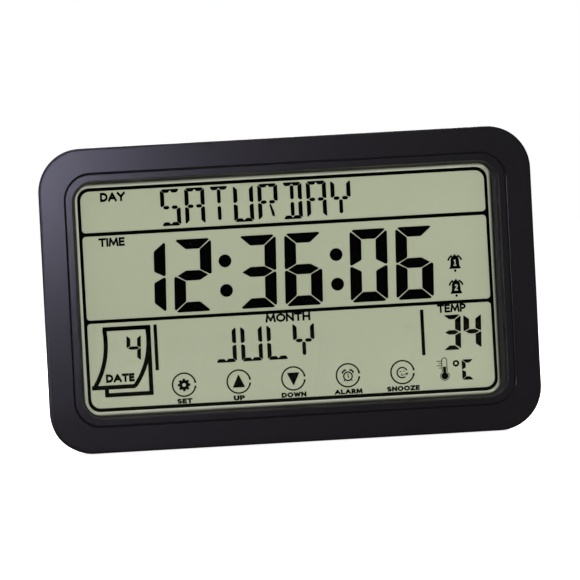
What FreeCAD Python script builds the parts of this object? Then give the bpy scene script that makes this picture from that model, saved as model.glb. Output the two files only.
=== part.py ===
import FreeCAD, Part
import os
from types import SimpleNamespace

import Sketcher

# Day clock with a large liquid-crystal display and touch keys, in millimetres.
# The clock faces -Y and stands on its flat lower edge, with the origin in the middle
# of its footprint. "Depth" is measured from the flat front of the case to the rear.

Vector = FreeCAD.Vector
Placement = FreeCAD.Placement
Rotation = FreeCAD.Rotation

SIZES = [
    # case
    ("case_width", 226.0),
    ("case_height", 138.0),
    ("case_depth", 27.0),
    ("corner_radius", 20.0),
    ("side_taper", 4.8),
    ("top_taper", 3.5),
    ("corner_taper", 3.0),
    ("wall", 2.4),
    ("parting_depth", 10.0),
    ("front_edge_round", 1.2),
    ("rear_edge_round", 2.0),
    ("tongue_wall", 1.1),
    ("tongue_length", 1.6),
    ("seam_width", 0.5),
    ("seam_depth", 0.4),
    ("cut_past", 1.2),
    ("base_trim", 0.05),
    # sloped frame round the display
    ("groove_inset", 11.3),
    ("groove_width", 1.0),
    ("groove_depth", 1.0),
    ("groove_radius", 12.5),
    ("bead_width", 3.0),
    ("bead_radius", 9.5),
    ("bead_round", 0.35),
    ("slope_width", 0.6),
    ("slope_depth", 3.4),
    ("slope_radius", 9.0),
    ("bevel_width", 1.4),
    ("bevel_depth", 1.6),
    ("opening_radius", 8.0),
    ("opening_gain", 0.6),
    ("lip", 0.6),
    ("rim_wall", 3.35),
    ("rim_radius", 11.0),
    # window and display
    ("tape_thickness", 0.2),
    ("window_thickness", 1.2),
    ("window_overlap", 2.0),
    ("window_radius", 5.0),
    ("film_thickness", 0.2),
    ("film_height", 34.0),
    ("film_tail_width", 16.0),
    ("film_gap", 0.05),
    ("polarizer_thickness", 0.2),
    ("glass_thickness", 1.1),
    ("glass_margin", 1.0),
    ("contact_ledge", 3.5),
    ("zebra_width", 2.2),
    ("zebra_length", 176.0),
    ("zebra_height", 2.8),
    ("holder_bar", 3.0),
    ("fit_gap", 0.15),
    # circuit board and what is soldered to it
    ("board_thickness", 1.2),
    ("board_radius", 3.0),
    ("chip_radius", 9.0),
    ("chip_height", 1.6),
    ("chip_dome", 1.1),
    ("touch_chip_size", 8.0),
    ("touch_chip_height", 1.5),
    ("crystal_radius", 1.5),
    ("crystal_length", 8.0),
    ("capacitor_radius", 2.5),
    ("capacitor_height", 6.0),
    ("capacitor_pitch", 8.0),
    ("sensor_size", 3.0),
    ("sensor_height", 4.0),
    ("buzzer_radius", 7.0),
    ("buzzer_height", 7.5),
    ("buzzer_port_radius", 1.2),
    ("sound_across", 68.0),
    ("sound_up", 60.0),
    ("sound_hole_radius", 0.9),
    ("sound_pitch", 3.6),
    ("vent_across", 72.0),
    ("vent_up", 24.0),
    ("vent_length", 16.0),
    ("vent_width", 1.8),
    ("vent_pitch", 4.0),
    # screws
    ("screw_radius", 1.3),
    ("screw_length", 10.0),
    ("screw_head_radius", 2.1),
    ("screw_head_height", 1.7),
    ("screw_dome", 0.5),
    ("screw_gap", 0.2),
    ("thread_gap", 0.02),
    ("boss_wall", 1.5),
    ("boss_seat", 4.0),
    ("side_screw_spread", 42.0),
    ("edge_screw_spread", 46.0),
    ("board_screw_radius", 1.0),
    ("board_screw_length", 8.5),
    ("board_screw_head", 1.9),
    ("board_screw_head_height", 1.2),
    ("board_screw_dome", 0.4),
    ("board_screw_side", 35.0),
    ("board_screw_edge", 50.0),
    # cells and their compartment
    ("cell_radius", 5.25),
    ("cell_length", 44.5),
    ("cell_nub_radius", 1.9),
    ("cell_nub_length", 1.0),
    ("cell_pitch", 11.3),
    ("cell_gap", 0.2),
    ("tub_across", -67.8),
    ("tub_up", 60.0),
    ("tub_wall", 1.4),
    ("tub_floor", 1.2),
    ("contact_thickness", 0.4),
    ("contact_width", 9.0),
    ("contact_height", 9.0),
    ("contact_tail", 4.0),
    ("spring_length", 6.3),
    ("spring_tip_radius", 2.4),
    ("spring_taper", 10.0),
    ("spring_wire", 0.7),
    ("spring_pitch", 2.2),
    # sliding door of the compartment
    ("door_thickness", 1.8),
    ("door_width", 36.0),
    ("door_tongue", 1.5),
    ("door_tongue_thickness", 0.8),
    ("door_margin", 3.2),
    ("slide_gap", 0.1),
    ("rail_run", 8.4),
    ("grip_count", 5.0),
    ("grip_pitch", 2.4),
    ("grip_width", 1.1),
    ("grip_length", 14.0),
    ("grip_depth", 0.5),
    # fold-out stand
    ("stand_width", 64.0),
    ("stand_thickness", 4.0),
    ("stand_pivot_up", 92.0),
    ("stand_tip_up", 6.0),
    ("stand_gap", 0.4),
    ("stand_skin", 1.6),
    ("stand_rib", 2.0),
    ("rib_columns", 3.0),
    ("rib_rows", 4.0),
    ("stand_corner", 9.0),
    ("stand_block_wall", 2.6),
    ("pin_radius", 1.0),
    ("pin_gap", 0.05),
    ("pin_bite", 1.95),
    ("scoop_radius", 8.0),
    ("scoop_up", 24.0),
    # wall-hanging keyholes
    ("keyhole_across", 70.0),
    ("keyhole_up", 108.0),
    ("keyhole_head", 4.5),
    ("keyhole_slot", 2.2),
    ("keyhole_rise", 9.0),
    ("keyhole_depth", 5.0),
    ("keyhole_wall", 1.6),
]

document = FreeCAD.newDocument("day_clock")
sheet = document.addObject("Spreadsheet::Sheet", "dims")
for row, (alias, value) in enumerate(SIZES, start=1):
    sheet.set(f"A{row}", alias)
    sheet.set(f"B{row}", str(value))
    sheet.setAlias(f"B{row}", alias)
document.recompute()


class Size:
    """A size with its present value and the sheet expression that gives it."""

    def __init__(self, value, text):
        self.value = value
        self.text = text

    def __add__(self, other):
        other = as_size(other)
        return Size(self.value + other.value, f"({self.text} + {other.text})")

    def __sub__(self, other):
        other = as_size(other)
        return Size(self.value - other.value, f"({self.text} - {other.text})")

    def __mul__(self, other):
        other = as_size(other)
        return Size(self.value * other.value, f"({self.text} * {other.text})")

    def __truediv__(self, other):
        other = as_size(other)
        return Size(self.value / other.value, f"({self.text} / {other.text})")

    def __neg__(self):
        return as_size(0.0) - self


def as_size(number):
    if isinstance(number, Size):
        return number
    return Size(float(number), str(float(number)))


d = SimpleNamespace(**{alias: Size(float(sheet.get(alias)), f"dims.{alias}") for alias, _ in SIZES})
ZERO = as_size(0.0)
ROUND_END = 0.98
HEXAGON_ROW = 3 ** 0.5 / 2
middle_up = d.case_height / 2
pieces = {}


# ---------------------------------------------------------------- tools for every piece


def bind(thing, name, size):
    """Set one property to a size and tie it to the sheet."""
    thing.setExpression(name, size.text)


def new_body(label, kept=True):
    body = document.addObject("PartDesign::Body", label)
    body.Label = label
    body.AllowCompound = True
    if kept:
        pieces[label] = body
    return body


def new_sketch(body, name, role, offset):
    """An empty sketch parallel to one of the body's own origin planes."""
    plane = [feature for feature in body.Origin.OriginFeatures if feature.Role == role][0]
    sketch = body.newObject("Sketcher::SketchObject", name)
    sketch.AttachmentSupport = [(plane, "")]
    sketch.MapMode = "FlatFace"
    sketch.AttachmentOffset = Placement(Vector(0, 0, offset.value), Rotation())
    bind(sketch, "AttachmentOffset.Base.z", offset)
    return sketch


def facing(body, name, depth):
    """A sketch that faces the front at a depth; its axes are the clock's X and Z."""
    return new_sketch(body, name, "XZ_Plane", d.case_depth / 2 - depth)


def sideways(body, name, across):
    """A sketch across the clock at one X; its axes are the clock's Y and Z."""
    return new_sketch(body, name, "YZ_Plane", across)


def at_depth(depth):
    """The Y of a depth behind the front."""
    return depth - d.case_depth / 2


def fix(sketch, kind, size, *where):
    index = sketch.addConstraint(Sketcher.Constraint(kind, *where, size.value))
    name = f"{kind.lower()}_{index}"
    sketch.renameConstraint(index, name)
    bind(sketch, f"Constraints.{name}", size)


def fix_point(sketch, geometry, point, across, up):
    fix(sketch, "DistanceX", across, -1, 1, geometry, point)
    fix(sketch, "DistanceY", up, -1, 1, geometry, point)


def draw_circle(sketch, across, up, radius):
    centre = Vector(across.value, up.value, 0)
    index = sketch.addGeometry(Part.Circle(centre, Vector(0, 0, 1), radius.value), False)
    fix(sketch, "Radius", radius, index)
    fix_point(sketch, index, 3, across, up)


def draw_polygon(sketch, points):
    first = sketch.GeometryCount
    corners = [Vector(across.value, up.value, 0) for across, up in points]
    count = len(corners)
    for n in range(count):
        sketch.addGeometry(Part.LineSegment(corners[n], corners[(n + 1) % count]), False)
    for n in range(count):
        following = first + (n + 1) % count
        sketch.addConstraint(Sketcher.Constraint("Coincident", first + n, 2, following, 1))
    for n, (across, up) in enumerate(points):
        fix_point(sketch, first + n, 1, across, up)


def draw_rectangle(sketch, left, right, bottom, top):
    draw_polygon(sketch, [(left, bottom), (right, bottom), (right, top), (left, top)])


def draw_rounded(sketch, left, right, bottom, top, radius):
    """A rectangle with four equal corner arcs, tangent to its sides."""
    x0, x1, y0, y1, r = (size.value for size in (left, right, bottom, top, radius))
    first = sketch.GeometryCount
    ends = [
        (Vector(x0 + r, y0, 0), Vector(x1 - r, y0, 0)),
        (Vector(x1, y0 + r, 0), Vector(x1, y1 - r, 0)),
        (Vector(x1 - r, y1, 0), Vector(x0 + r, y1, 0)),
        (Vector(x0, y1 - r, 0), Vector(x0, y0 + r, 0)),
    ]
    centres = [(x1 - r, y0 + r), (x1 - r, y1 - r), (x0 + r, y1 - r), (x0 + r, y0 + r)]
    quarter = FreeCAD.Units.Quantity("90 deg").getValueAs("rad").Value
    for start, end in ends:
        sketch.addGeometry(Part.LineSegment(start, end), False)
    for n, (x, y) in enumerate(centres):
        circle = Part.Circle(Vector(x, y, 0), Vector(0, 0, 1), r)
        arc = Part.ArcOfCircle(circle, (n - 1) * quarter, n * quarter)
        sketch.addGeometry(arc, False)
    for n in range(4):
        side, arc, following = first + n, first + 4 + n, first + (n + 1) % 4
        sketch.addConstraint(Sketcher.Constraint("Tangent", side, 2, arc, 1))
        sketch.addConstraint(Sketcher.Constraint("Tangent", arc, 2, following, 1))
    for n in (0, 2):
        sketch.addConstraint(Sketcher.Constraint("Horizontal", first + n))
        sketch.addConstraint(Sketcher.Constraint("Vertical", first + n + 1))
    for n in range(1, 4):
        sketch.addConstraint(Sketcher.Constraint("Equal", first + 4, first + 4 + n))
    fix(sketch, "Radius", radius, first + 4)
    fix(sketch, "DistanceY", bottom, -1, 1, first, 1)
    fix(sketch, "DistanceX", right, -1, 1, first + 1, 1)
    fix(sketch, "DistanceY", top, -1, 1, first + 2, 1)
    fix(sketch, "DistanceX", left, -1, 1, first + 3, 1)


def finish_feature(body, feature):
    body.Tip = feature
    document.recompute()
    return feature


def pad(body, name, sketch, length, reverse=True, midplane=False):
    """Thicken a sketch: from a facing sketch towards the rear unless told otherwise."""
    feature = body.newObject("PartDesign::Pad", name)
    feature.Profile = sketch
    feature.Reversed = reverse
    feature.Midplane = midplane
    bind(feature, "Length", length)
    return finish_feature(body, feature)


def pocket(body, name, sketch, length, reverse=False, midplane=False):
    """Cut a sketch: from a facing sketch towards the rear unless told otherwise."""
    feature = body.newObject("PartDesign::Pocket", name)
    feature.Profile = sketch
    feature.Reversed = reverse
    feature.Midplane = midplane
    bind(feature, "Length", length)
    return finish_feature(body, feature)


def loft(body, name, sketches, kind="PartDesign::AdditiveLoft"):
    """A straight-sided form through sketches, named from the rear one to the front one."""
    feature = body.newObject(kind, name)
    feature.Profile = sketches[0]
    feature.Sections = sketches[1:]
    feature.Ruled = True
    return finish_feature(body, feature)


def round_edges(body, name, radius, chosen):
    """Round the edges that a test picks from the body's present shape."""
    base = body.Tip
    edges = [f"Edge{n}" for n, edge in enumerate(base.Shape.Edges, start=1) if chosen(edge)]
    feature = body.newObject("PartDesign::Fillet", name)
    feature.Base = (base, edges)
    bind(feature, "Radius", radius)
    return finish_feature(body, feature)


def lies_at(edge, axis, size, slack=1e-4):
    """True if a whole edge lies at one coordinate."""
    box = edge.BoundBox
    low, high = {"x": (box.XMin, box.XMax), "y": (box.YMin, box.YMax), "z": (box.ZMin, box.ZMax)}[axis]
    return abs(low - size.value) < slack and abs(high - size.value) < slack


def block(name, left, right, front, rear, bottom, top):
    """A plain box between two X, two depths and two heights."""
    thing = document.addObject("Part::Box", name)
    bind(thing, "Length", right - left)
    bind(thing, "Width", rear - front)
    bind(thing, "Height", top - bottom)
    bind(thing, "Placement.Base.x", left)
    bind(thing, "Placement.Base.y", at_depth(front))
    bind(thing, "Placement.Base.z", bottom)
    return thing


def keep(label, thing):
    thing.Label = label
    pieces[label] = thing
    return thing


def group(label, members):
    """Separate solids of one kind, kept as one piece."""
    thing = document.addObject("Part::Compound", label)
    thing.Links = members
    return keep(label, thing)


def both_sides(size):
    return (-size, size)


# ---------------------------------------------------------------- depths of the stack

rear = d.case_depth
outside = d.case_width / 2 + d.corner_radius
bevel_inset = d.groove_inset + d.groove_width + d.bead_width
slope_inset = bevel_inset + d.slope_width
opening_inset = slope_inset + d.bevel_width
bevel_end = d.slope_depth + d.bevel_depth
seat = bevel_end + d.lip
window_front = seat + d.tape_thickness
window_rear = window_front + d.window_thickness
film_rear = window_rear + d.film_thickness
polarizer_front = film_rear + d.film_gap
front_glass_front = polarizer_front + d.polarizer_thickness
front_glass_rear = front_glass_front + d.glass_thickness
rear_glass_rear = front_glass_rear + d.glass_thickness
display_rear = rear_glass_rear + d.polarizer_thickness
board_front = front_glass_rear + d.zebra_height
board_rear = board_front + d.board_thickness
rear_inside = rear - d.wall

opening_half = d.case_width / 2 - opening_inset
opening_rise = middle_up - opening_inset + d.opening_gain
window_half = opening_half + d.window_overlap
window_rise = opening_rise + d.window_overlap - d.opening_gain
glass_half = window_half - d.glass_margin
glass_rise = window_rise - d.glass_margin
rim_half = window_half + d.fit_gap + d.rim_wall
rim_rise = window_rise + d.fit_gap + d.rim_wall
board_half = rim_half - d.fit_gap
board_rise = rim_rise - d.fit_gap

boss_radius = d.screw_radius + d.boss_wall
side_screw = rim_half + d.fit_gap * 2 + boss_radius
edge_screw = rim_rise + d.fit_gap * 2 + boss_radius
case_screw_places = [
    (across, middle_up + up)
    for across in both_sides(side_screw)
    for up in both_sides(d.side_screw_spread)
] + [
    (across, middle_up + up)
    for across in both_sides(d.edge_screw_spread)
    for up in both_sides(edge_screw)
]
rim_middle = window_half + d.fit_gap + d.rim_wall / 2
rim_middle_rise = window_rise + d.fit_gap + d.rim_wall / 2
board_screw_places = [
    (across, middle_up + up)
    for across in both_sides(rim_middle)
    for up in both_sides(d.board_screw_side)
] + [
    (across, middle_up + up)
    for across in both_sides(d.board_screw_edge)
    for up in both_sides(rim_middle_rise)
]


def case_outline(body, name, depth, inset=ZERO, past=ZERO):
    """The case's outline at a depth: its sides and top lean in towards the rear.

    Its lower edge lies a little under the base, which is trimmed flat afterwards.
    """
    sketch = facing(body, name, depth)
    share = depth / d.case_depth
    half = d.case_width / 2 - d.side_taper * share - inset + past
    draw_rounded(
        sketch,
        -half,
        half,
        inset - past - d.base_trim,
        d.case_height - d.top_taper * share - inset + past,
        d.corner_radius - d.corner_taper * share - inset + past,
    )
    return sketch


def trim_base(body, name):
    """Trim the base to a true plane for the clock to stand on."""
    sketch = new_sketch(body, name + "_outline", "XY_Plane", ZERO)
    past = d.corner_radius
    draw_rectangle(sketch, -outside, outside, at_depth(-past), at_depth(rear + past))
    pocket(body, name, sketch, past)


def frame_outline(body, name, depth, inset, radius):
    """An outline of the display's frame, inset alike from all four sides of the face."""
    sketch = facing(body, name, depth)
    half = d.case_width / 2 - inset
    draw_rounded(sketch, -half, half, inset, d.case_height - inset, radius)
    return sketch


def centred_outline(sketch, half, rise, radius):
    draw_rounded(sketch, -half, half, middle_up - rise, middle_up + rise, radius)


def draw_screws(sketch, places, radius):
    for across, up in places:
        draw_circle(sketch, across, up, radius)


# ---------------------------------------------------------------- front housing


def make_front_housing():
    body = new_body("front_housing")
    face = case_outline(body, "front_face", ZERO)
    parting = case_outline(body, "front_parting", d.parting_depth)
    loft(body, "front_form", [parting, face])
    face_y = at_depth(ZERO)
    round_edges(body, "front_edge", d.front_edge_round, lambda edge: lies_at(edge, "y", face_y))
    trim_base(body, "front_base")

    inside = case_outline(body, "front_inside", d.parting_depth, inset=d.wall)
    pocket(body, "front_hollow", inside, d.parting_depth - window_rear, reverse=True)
    channel = case_outline(body, "channel_outline", d.parting_depth, inset=d.wall)
    centred_outline(channel, rim_half, rim_rise, d.rim_radius)
    pocket(body, "front_channel", channel, d.parting_depth - d.wall, reverse=True)

    recess = facing(body, "window_recess_outline", window_rear)
    centred_outline(recess, window_half + d.fit_gap, window_rise + d.fit_gap, d.window_radius)
    pocket(body, "window_recess", recess, window_rear - seat, reverse=True)
    opening = facing(body, "opening_outline", ZERO)
    centred_outline(opening, opening_half, opening_rise, d.opening_radius)
    pocket(body, "opening", opening, window_rear)

    groove = frame_outline(body, "groove_outline", ZERO, d.groove_inset, d.groove_radius)
    inner = d.groove_inset + d.groove_width
    half = d.case_width / 2 - inner
    draw_rounded(groove, -half, half, inner, d.case_height - inner, d.groove_radius - d.groove_width)
    pocket(body, "groove", groove, d.groove_depth)
    bevel = facing(body, "bevel_end", bevel_end)
    centred_outline(bevel, opening_half, opening_rise, d.opening_radius)
    slope = [
        bevel,
        frame_outline(body, "slope_end", d.slope_depth, slope_inset, d.slope_radius),
        frame_outline(body, "slope_start", ZERO, bevel_inset, d.bead_radius),
    ]
    loft(body, "slopes", slope, "PartDesign::SubtractiveLoft")

    def on_bead(edge):
        """The two long edges of the raised bead between the groove and the slope."""
        reach = max(edge.BoundBox.XMax, -edge.BoundBox.XMin)
        rise = max(edge.BoundBox.ZMax, d.case_height.value - edge.BoundBox.ZMin)
        beyond = d.case_width.value / 2 - inner.value + 1e-3
        above = d.case_height.value - inner.value + 1e-3
        return lies_at(edge, "y", face_y) and reach < beyond and rise < above

    round_edges(body, "bead_edges", d.bead_round, on_bead)

    bosses = facing(body, "front_boss_circles", d.wall - d.front_edge_round)
    draw_screws(bosses, case_screw_places, boss_radius)
    pad(body, "front_bosses", bosses, d.parting_depth - d.wall + d.front_edge_round)
    pilots = facing(body, "front_pilot_circles", d.parting_depth)
    draw_screws(pilots, case_screw_places, d.screw_radius + d.thread_gap)
    reach = d.screw_length - d.boss_seat + d.fit_gap
    pocket(body, "front_pilots", pilots, reach, reverse=True)
    taps = facing(body, "board_pilot_circles", window_rear)
    draw_screws(taps, board_screw_places, d.board_screw_radius + d.thread_gap)
    grip = d.board_screw_length - (board_rear - window_rear) + d.fit_gap
    pocket(body, "board_pilots", taps, grip, reverse=True)


# ---------------------------------------------------------------- window and display


def plate(label, front, thickness, half, rise, radius=None):
    """A flat sheet behind the window, centred on the face."""
    if radius is None:
        up = (middle_up - rise, middle_up + rise)
        return keep(label, block(label, -half, half, front, front + thickness, *up))
    body = new_body(label)
    outline = facing(body, label + "_outline", front)
    centred_outline(outline, half, rise, radius)
    pad(body, label + "_sheet", outline, thickness)
    return body


def make_window():
    plate("display_window", window_front, d.window_thickness, window_half, window_rise, d.window_radius)
    tape = new_body("window_tape")
    outline = facing(tape, "tape_outline", seat)
    centred_outline(outline, window_half, window_rise, d.window_radius)
    centred_outline(outline, opening_half + d.lip, opening_rise + d.lip, d.opening_radius)
    pad(tape, "tape_sheet", outline, d.tape_thickness)


def make_touch_film():
    """Clear electrode film behind the row of touch keys; its tail reaches the board."""
    body = new_body("touch_film")
    base = middle_up - glass_rise
    sheet_outline = facing(body, "film_outline", window_rear)
    draw_rectangle(sheet_outline, -glass_half, glass_half, base, base + d.film_height)
    pad(body, "film_sheet", sheet_outline, d.film_thickness)
    slot_up = base - d.film_thickness * 2
    width = both_sides(d.film_tail_width / 2)
    tail = facing(body, "tail_outline", window_rear)
    draw_rectangle(tail, *width, slot_up, base)
    pad(body, "tail_root", tail, d.film_thickness)
    run = facing(body, "tail_run_outline", window_rear)
    draw_rectangle(run, *width, slot_up, slot_up + d.film_thickness)
    pad(body, "tail_run", run, board_rear + d.film_thickness - window_rear)
    fold = facing(body, "tail_fold_outline", board_rear)
    draw_rectangle(fold, *width, slot_up, base + d.touch_chip_size / 2)
    pad(body, "tail_fold", fold, d.film_thickness)


def make_display():
    plate("front_polarizer", polarizer_front, d.polarizer_thickness, glass_half, glass_rise)
    plate("lcd_front_glass", front_glass_front, d.glass_thickness, glass_half, glass_rise)
    inner_rise = glass_rise - d.contact_ledge
    plate("lcd_rear_glass", front_glass_rear, d.glass_thickness, glass_half, inner_rise)
    plate("rear_polarizer", rear_glass_rear, d.polarizer_thickness, glass_half, inner_rise)


def zebra_band():
    """Height above the display's middle at which each contact strip is centred."""
    return glass_rise - d.contact_ledge / 2


def make_zebra_strips():
    strips = []
    for side, name in ((1, "upper_zebra"), (-1, "lower_zebra")):
        centre = middle_up + zebra_band() * side
        half = d.zebra_length / 2
        low = centre - d.zebra_width / 2
        high = centre + d.zebra_width / 2
        strips.append(block(name, -half, half, front_glass_rear, board_front, low, high))
    group("zebra_strips", strips)


def make_lcd_holder():
    body = new_body("lcd_holder")
    outline = facing(body, "holder_outline", window_rear)
    centred_outline(outline, rim_half, rim_rise, d.board_radius)
    pad(body, "holder_form", outline, board_front - window_rear)
    pocket_outline = facing(body, "glass_pocket_outline", window_rear)
    up = both_sides(glass_rise + d.fit_gap)
    across = both_sides(glass_half + d.fit_gap)
    draw_rectangle(pocket_outline, *across, middle_up + up[0], middle_up + up[1])
    pocket(body, "glass_pocket", pocket_outline, display_rear - window_rear)
    window = facing(body, "holder_window_outline", display_rear)
    bar = glass_rise - d.contact_ledge - d.holder_bar
    half = glass_half - d.holder_bar
    draw_rectangle(window, -half, half, middle_up - bar, middle_up + bar)
    for side in (1, -1):
        centre = middle_up + zebra_band() * side
        width = d.zebra_width / 2 + d.fit_gap
        length = d.zebra_length / 2 + d.fit_gap
        draw_rectangle(window, -length, length, centre - width, centre + width)
    pocket(body, "holder_window", window, board_front - display_rear)
    holes = facing(body, "holder_hole_circles", window_rear)
    draw_screws(holes, board_screw_places, d.board_screw_radius + d.fit_gap)
    pocket(body, "holder_holes", holes, board_front - window_rear)
    draw_tail_slot(body, "holder_tail_slot", window_rear, board_front - window_rear)


def draw_tail_slot(body, name, front, length):
    """A slot that lets the touch film's tail pass."""
    base = middle_up - glass_rise
    outline = facing(body, name + "_outline", front)
    across = both_sides(d.film_tail_width / 2 + d.fit_gap)
    low = base - d.film_thickness * 2 - d.fit_gap
    draw_rectangle(outline, *across, low, base + d.film_thickness)
    pocket(body, name, outline, length)


# ---------------------------------------------------------------- circuit board


def make_main_board():
    body = new_body("main_board")
    outline = facing(body, "board_outline", board_front)
    centred_outline(outline, board_half, board_rise, d.board_radius)
    pad(body, "board_sheet", outline, d.board_thickness)
    holes = facing(body, "board_hole_circles", board_front)
    draw_screws(holes, board_screw_places, d.board_screw_radius + d.fit_gap)
    pocket(body, "board_holes", holes, d.board_thickness)
    draw_tail_slot(body, "board_tail_slot", board_front, d.board_thickness)


def on_board(label, across, up, radius, height):
    """A round component that stands on the rear of the board."""
    body = new_body(label)
    circle = facing(body, label + "_circle", board_rear)
    draw_circle(circle, across, up, radius)
    pad(body, label + "_body", circle, height)
    return body


def make_board_parts():
    chip = on_board("clock_chip", ZERO, middle_up, d.chip_radius, d.chip_height)
    top = at_depth(board_rear + d.chip_height)
    round_edges(chip, "resin_dome", d.chip_dome, lambda edge: lies_at(edge, "y", top))

    base = middle_up - glass_rise
    half = d.touch_chip_size / 2
    low = base + d.touch_chip_size
    deep = board_rear + d.touch_chip_height
    keep("touch_chip", block("touch_chip", -half, half, board_rear, deep, low, low + d.touch_chip_size))

    crystal = new_body("quartz_crystal")
    end = sideways(crystal, "crystal_circle", d.chip_radius + d.crystal_radius * 2)
    draw_circle(end, at_depth(board_rear + d.crystal_radius), middle_up, d.crystal_radius)
    pad(crystal, "crystal_can", end, d.crystal_length, reverse=False)

    capacitors = new_body("capacitors")
    circles = facing(capacitors, "capacitor_circles", board_rear)
    for n in range(3):
        across = d.chip_radius + d.capacitor_pitch * (n + 1)
        draw_circle(circles, across, middle_up - d.chip_radius * 2, d.capacitor_radius)
    pad(capacitors, "capacitor_cans", circles, d.capacitor_height)

    half = d.sensor_size / 2
    deep = board_rear + d.sensor_height
    across = (d.vent_across - half, d.vent_across + half)
    up = (d.vent_up - half, d.vent_up + half)
    keep("temperature_sensor", block("temperature_sensor", *across, board_rear, deep, *up))

    buzzer = on_board("buzzer", d.sound_across, d.sound_up, d.buzzer_radius, d.buzzer_height)
    port = facing(buzzer, "buzzer_port_circle", board_rear + d.buzzer_height)
    draw_circle(port, d.sound_across, d.sound_up, d.buzzer_port_radius)
    pocket(buzzer, "buzzer_port", port, d.buzzer_height / 2, reverse=True)


def make_screws(label, places, seat_depth, shank, head, round_size):
    """Screws driven forwards, each a shank ahead of its seat and a head behind it."""
    body = new_body(label)
    radius, length = shank
    shanks = facing(body, label + "_shank_circles", seat_depth)
    draw_screws(shanks, places, radius)
    pad(body, label + "_shanks", shanks, length, reverse=False)
    head_radius, height = head
    heads = facing(body, label + "_head_circles", seat_depth)
    draw_screws(heads, places, head_radius)
    pad(body, label + "_heads", heads, height)
    top = at_depth(seat_depth + height)
    round_edges(body, label + "_domes", round_size, lambda edge: lies_at(edge, "y", top))


# ---------------------------------------------------------------- rear housing

tub_length = d.cell_length + d.spring_length + d.contact_thickness * 2
tub_left = d.tub_across - tub_length / 2
tub_right = d.tub_across + tub_length / 2
tub_rise = d.cell_pitch + d.cell_radius + d.cell_gap
door_inner = rear - d.door_thickness
tub_inside = door_inner - d.cell_gap - d.cell_radius * 2 - d.cell_gap
cell_middle = tub_inside + d.cell_gap + d.cell_radius
door_end = tub_right + d.door_margin
door_half = d.door_width / 2
stand_front = rear - d.stand_gap - d.stand_thickness
stand_recess = stand_front - d.stand_gap
pivot_depth = stand_front + d.stand_thickness / 2
stand_half = d.stand_width / 2


def inner_block(body, name, front, outline):
    """A block of plastic behind a recess, grown into the rear wall."""
    sketch = facing(body, name + "_outline", front)
    draw_rectangle(sketch, *outline)
    pad(body, name, sketch, rear - d.wall / 2 - front)


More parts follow.
